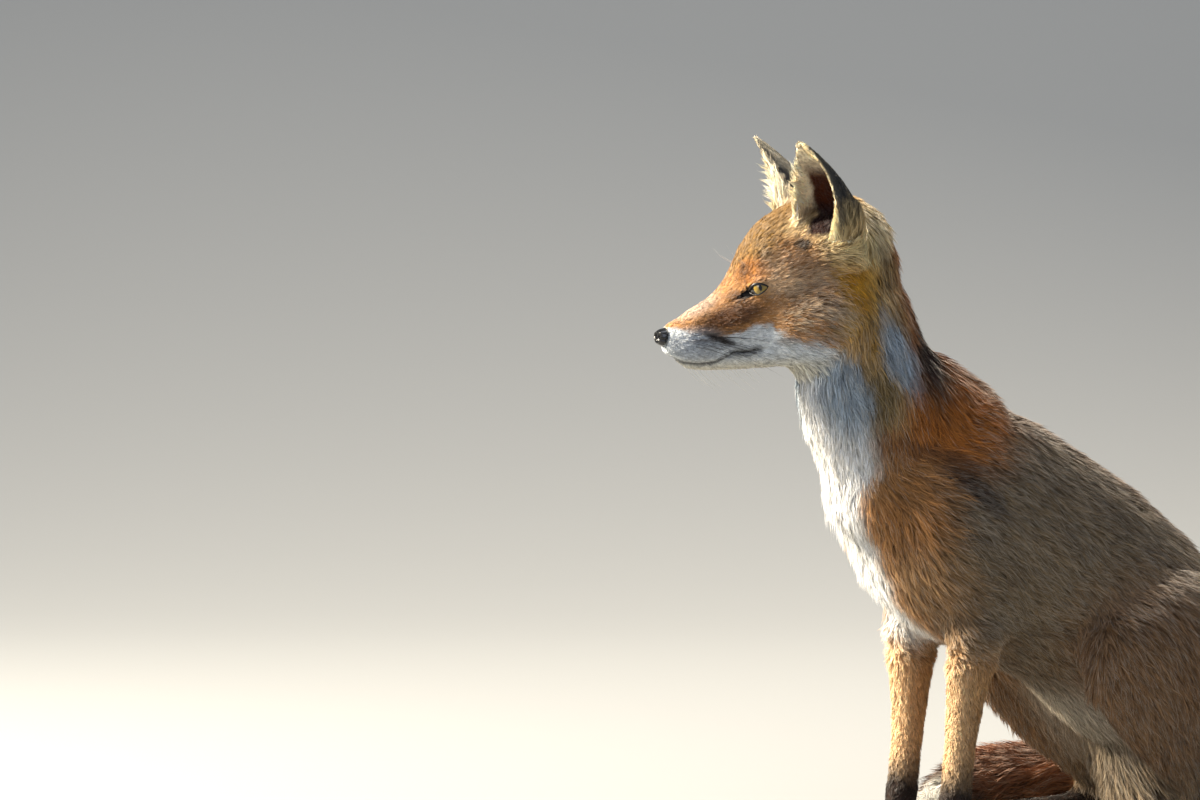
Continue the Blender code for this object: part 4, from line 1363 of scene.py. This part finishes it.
# %% Nostrils and nose leather
centre_height = (places[:, 2].max() + places[:, 2].min()) / 2
s, t, u = places[:, 0], np.abs(places[:, 1]), places[:, 2] - centre_height
pit = np.exp(-(((t - 0.0042) / 0.0021) ** 2) - ((u - 0.0002) / 0.0024) ** 2)
pit = pit * ramp(s, tip_of_nose - 0.007, tip_of_nose - 0.002)
slit = np.exp(-(((u + 0.0012 + 0.12 * (t - 0.006)) / 0.0008) ** 2)) * ramp(t, 0.0035, 0.0055)
slit = slit * ramp(s, tip_of_nose - 0.014, tip_of_nose - 0.006)
seam = np.exp(-((t / 0.0007) ** 2)) * ramp(u, 0.003, -0.002)
places[:, 0] -= 0.0046 * pit + 0.0010 * seam
places[:, 1] -= np.sign(places[:, 1]) * 0.0016 * slit
nose.data.vertices.foreach_set("co", to_world(HEAD, places).ravel())
nose.data.update()
for polygon in nose.data.polygons:
    polygon.use_smooth = True
# Moist nose leather with pebbles about a millimetre across.
wet = {"Coat_Weight": 0.35, "Coat_Roughness": 0.12, "Specular_IOR_Level": 0.3}
leather = material("nose leather", 0.26, "#080707", **wet)
leather = add_bump(leather, 1300, 0.0002, 0.12, 0, "ShaderNodeTexVoronoi")
keep(nose, leather, ["nose"])
print("nose:", len(nose.data.polygons), "faces")

# %% [markdown]
# Each foot has four claws, dark and gently curved, that just clear the toe hair and end a
# little above the ground. Each is a tube swept along a curve, as the whiskers are later on.


# %% Claws
def add_claw(shape, base, way, long, thick):
    """A curved, tapering claw from a place on the toe."""
    line, radii = [], []
    for k in range(9):
        step = k / 8
        drop = Vector((0, 0, -0.45 * long * step**2))
        line.append(base + way * (long * step) + drop)
        radii.append(thick * (1 - 0.88 * step**1.3))
    sweep(shape, line, radii, 10)


shape = bmesh.new()
for name in FEET:
    low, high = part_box(name)
    wide = high.x - low.x
    for k, toe in enumerate((-0.36, -0.13, 0.13, 0.36)):
        x = (low.x + high.x) / 2 + toe * wide
        ray = lookup.ray_cast(Vector((x, low.y - 0.05, 0.0085)), Vector((0, 1, 0)))
        start = ray[0] if ray[0] else Vector((x, low.y, 0.0085))
        base = start + Vector((0, 0.0035, 0))
        add_claw(shape, base, Vector((toe * 0.25, -1, -0.12)).normalized(), 0.0095, 0.0014)
bmesh.ops.recalc_face_normals(shape, faces=shape.faces)
# Claw horn: dark brown, smooth and half glossy.
horn = material("claw horn", 0.35, "#2A211B")
keep(add_object("claws", shape), horn)
print("claws:", 4 * len(FEET))

# %% [markdown]
# The whiskers are long, stiff hairs that taper to nothing. The dark ones grow in rows from
# the pad beside the nose and sweep back past the cheek. Paler, shorter ones hang under the jaw
# and stand over the eye.


# %% Whiskers
def skin_point(head_place, side):
    """The place on the skin nearest to a place in the head's frame."""
    return skin_lookup.find_nearest(HEAD @ Vector(head_place * np.array((1, side, 1))))[0]


def whisker(shape, root, way, droop, long, thick):
    line, radii = [], []
    for k in range(10):
        step = k / 9
        line.append(root + way * (long * step) + droop * (long * step**2))
        radii.append(thick * (1 - 0.93 * step))
    sweep(shape, line, radii, 4)


skin_lookup = BVHTree.FromPolygons([Vector(p) for p in spots], corners.tolist())
dark_hairs, pale_hairs = bmesh.new(), bmesh.new()
for side in SIDES.values():
    for row in range(4):
        for k in range(5):
            base = np.array([0.126 - 0.0065 * k - 0.001 * row, 0.022, 0.0025 - 0.0036 * row])
            root = skin_point(base, side)
            fan = 0.14 - 0.13 * row + rng.normal(0, 0.05)
            way = HEAD.to_3x3() @ Vector((-0.80, side * rng.uniform(0.35, 0.6), fan)).normalized()
            droop = HEAD.to_3x3() @ Vector((-0.15, -side * 0.18, -0.16))
            whisker(dark_hairs, root, way, droop, rng.uniform(0.030, 0.062), 0.00017)
    for k in range(7):
        root = skin_point(np.array([0.125 - 0.008 * k, 0.008 + 0.001 * k, -0.03]), side)
        way = HEAD.to_3x3() @ Vector((-0.45, side * rng.uniform(0.1, 0.4), -0.8)).normalized()
        droop = HEAD.to_3x3() @ Vector((-0.35, 0, 0.05))
        whisker(pale_hairs, root, way, droop, rng.uniform(0.014, 0.028), 0.00012)
    for k in range(2):
        root = skin_point(np.array([0.083 - 0.003 * k, 0.018, 0.052]), side)
        way = HEAD.to_3x3() @ Vector((0.85, side * 0.15, 0.35)).normalized()
        droop = HEAD.to_3x3() @ Vector((-0.25, side * 0.1, 0.15))
        whisker(pale_hairs, root, way, droop, rng.uniform(0.020, 0.030), 0.00007)
for shape in (dark_hairs, pale_hairs):
    bmesh.ops.recalc_face_normals(shape, faces=shape.faces)
# Whiskers: smooth, stiff hair, dark on the muzzle and pale under the jaw.
keep(add_object("dark_whiskers", dark_hairs), material("dark whisker", 0.4, "#191310"))
keep(add_object("pale_whiskers", pale_hairs), material("pale whisker", 0.4, "#E8E0D2"))
print("whiskers on both sides")

# %% [markdown]
# The stage is a plain pale floor that curves up into a backdrop, so that no edge is seen
# behind the animal.

# %% Floor
shape = bmesh.new()
profile = [(-4.0, 0.0), (1.6, 0.0)]
profile += [(1.6 + 3.0 * math.sin(a), 3.0 - 3.0 * math.cos(a)) for a in np.linspace(0.05, math.pi / 2, 30)]
profile += [(4.6, 7.0)]
away = -Vector((back.x, back.y, 0)).normalized()
rows = []
for distance, height in profile:
    rows.append([shape.verts.new(away * distance + right * x + Vector((0, 0, height))) for x in (-9, 9)])
for near_row, far_row in zip(rows, rows[1:]):
    shape.faces.new([near_row[0], near_row[1], far_row[1], far_row[0]])
floor = add_object("floor and backdrop", shape)
# Matt studio paper.
floor.data.materials.append(material("studio paper", 0.9, "#808283"))
floor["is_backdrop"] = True
print("floor and backdrop:", len(floor.data.polygons), "faces")

# %% [markdown]
# A fox is seen best in low sun. A warm key light stands to the left, a little behind the fox,
# and leaves its near side in soft shade. A rim light from behind picks out the hair along the
# back of the neck, a wide light washes the backdrop, and a weak one lifts the near side.


# %% Lights
def add_area_light(name, place, size, power, code, facing=None):
    light = bpy.data.lights.new(name, "AREA")
    light.shape = "DISK"
    light.size = size
    light.energy = power
    light.color = linear(code)
    lamp = bpy.data.objects.new(name, light)
    scene.collection.objects.link(lamp)
    target = Vector((0.0, -0.1, 0.33))
    lamp.location = target + place
    lamp.rotation_euler = (facing or place).to_track_quat("Z", "Y").to_euler()
    return lamp


sky = Vector((0, 0, 1))
add_area_light("key", -right * 2.0 + sky * 1.4 - back * 0.10, 0.9, 295, "#FFF3DE")
add_area_light("rim", right * 0.7 + sky * 1.7 - back * 1.7, 0.7, 80, "#FFF0D8")
add_area_light("wash", -back * 1.6 + sky * 3.4, 3.0, 60, "#E6ECF4", sky + back * 0.5)
add_area_light("fill", -right * 1.3 + sky * 1.1 + back * 1.9, 1.2, 11, "#DCE8FF")
scene.view_settings.view_transform = "Standard"
world = bpy.data.worlds.new("studio")
world.use_nodes = True
world.node_tree.nodes["Background"].inputs["Color"].default_value = (*linear("#CFDDF2"), 1)
world.node_tree.nodes["Background"].inputs["Strength"].default_value = 0.45
scene.world = world
print("four lights and a soft sky")

# %% [markdown]
# Last, the size of this model is measured, leaving out the backdrop.

# %% Size of the model
low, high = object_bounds()
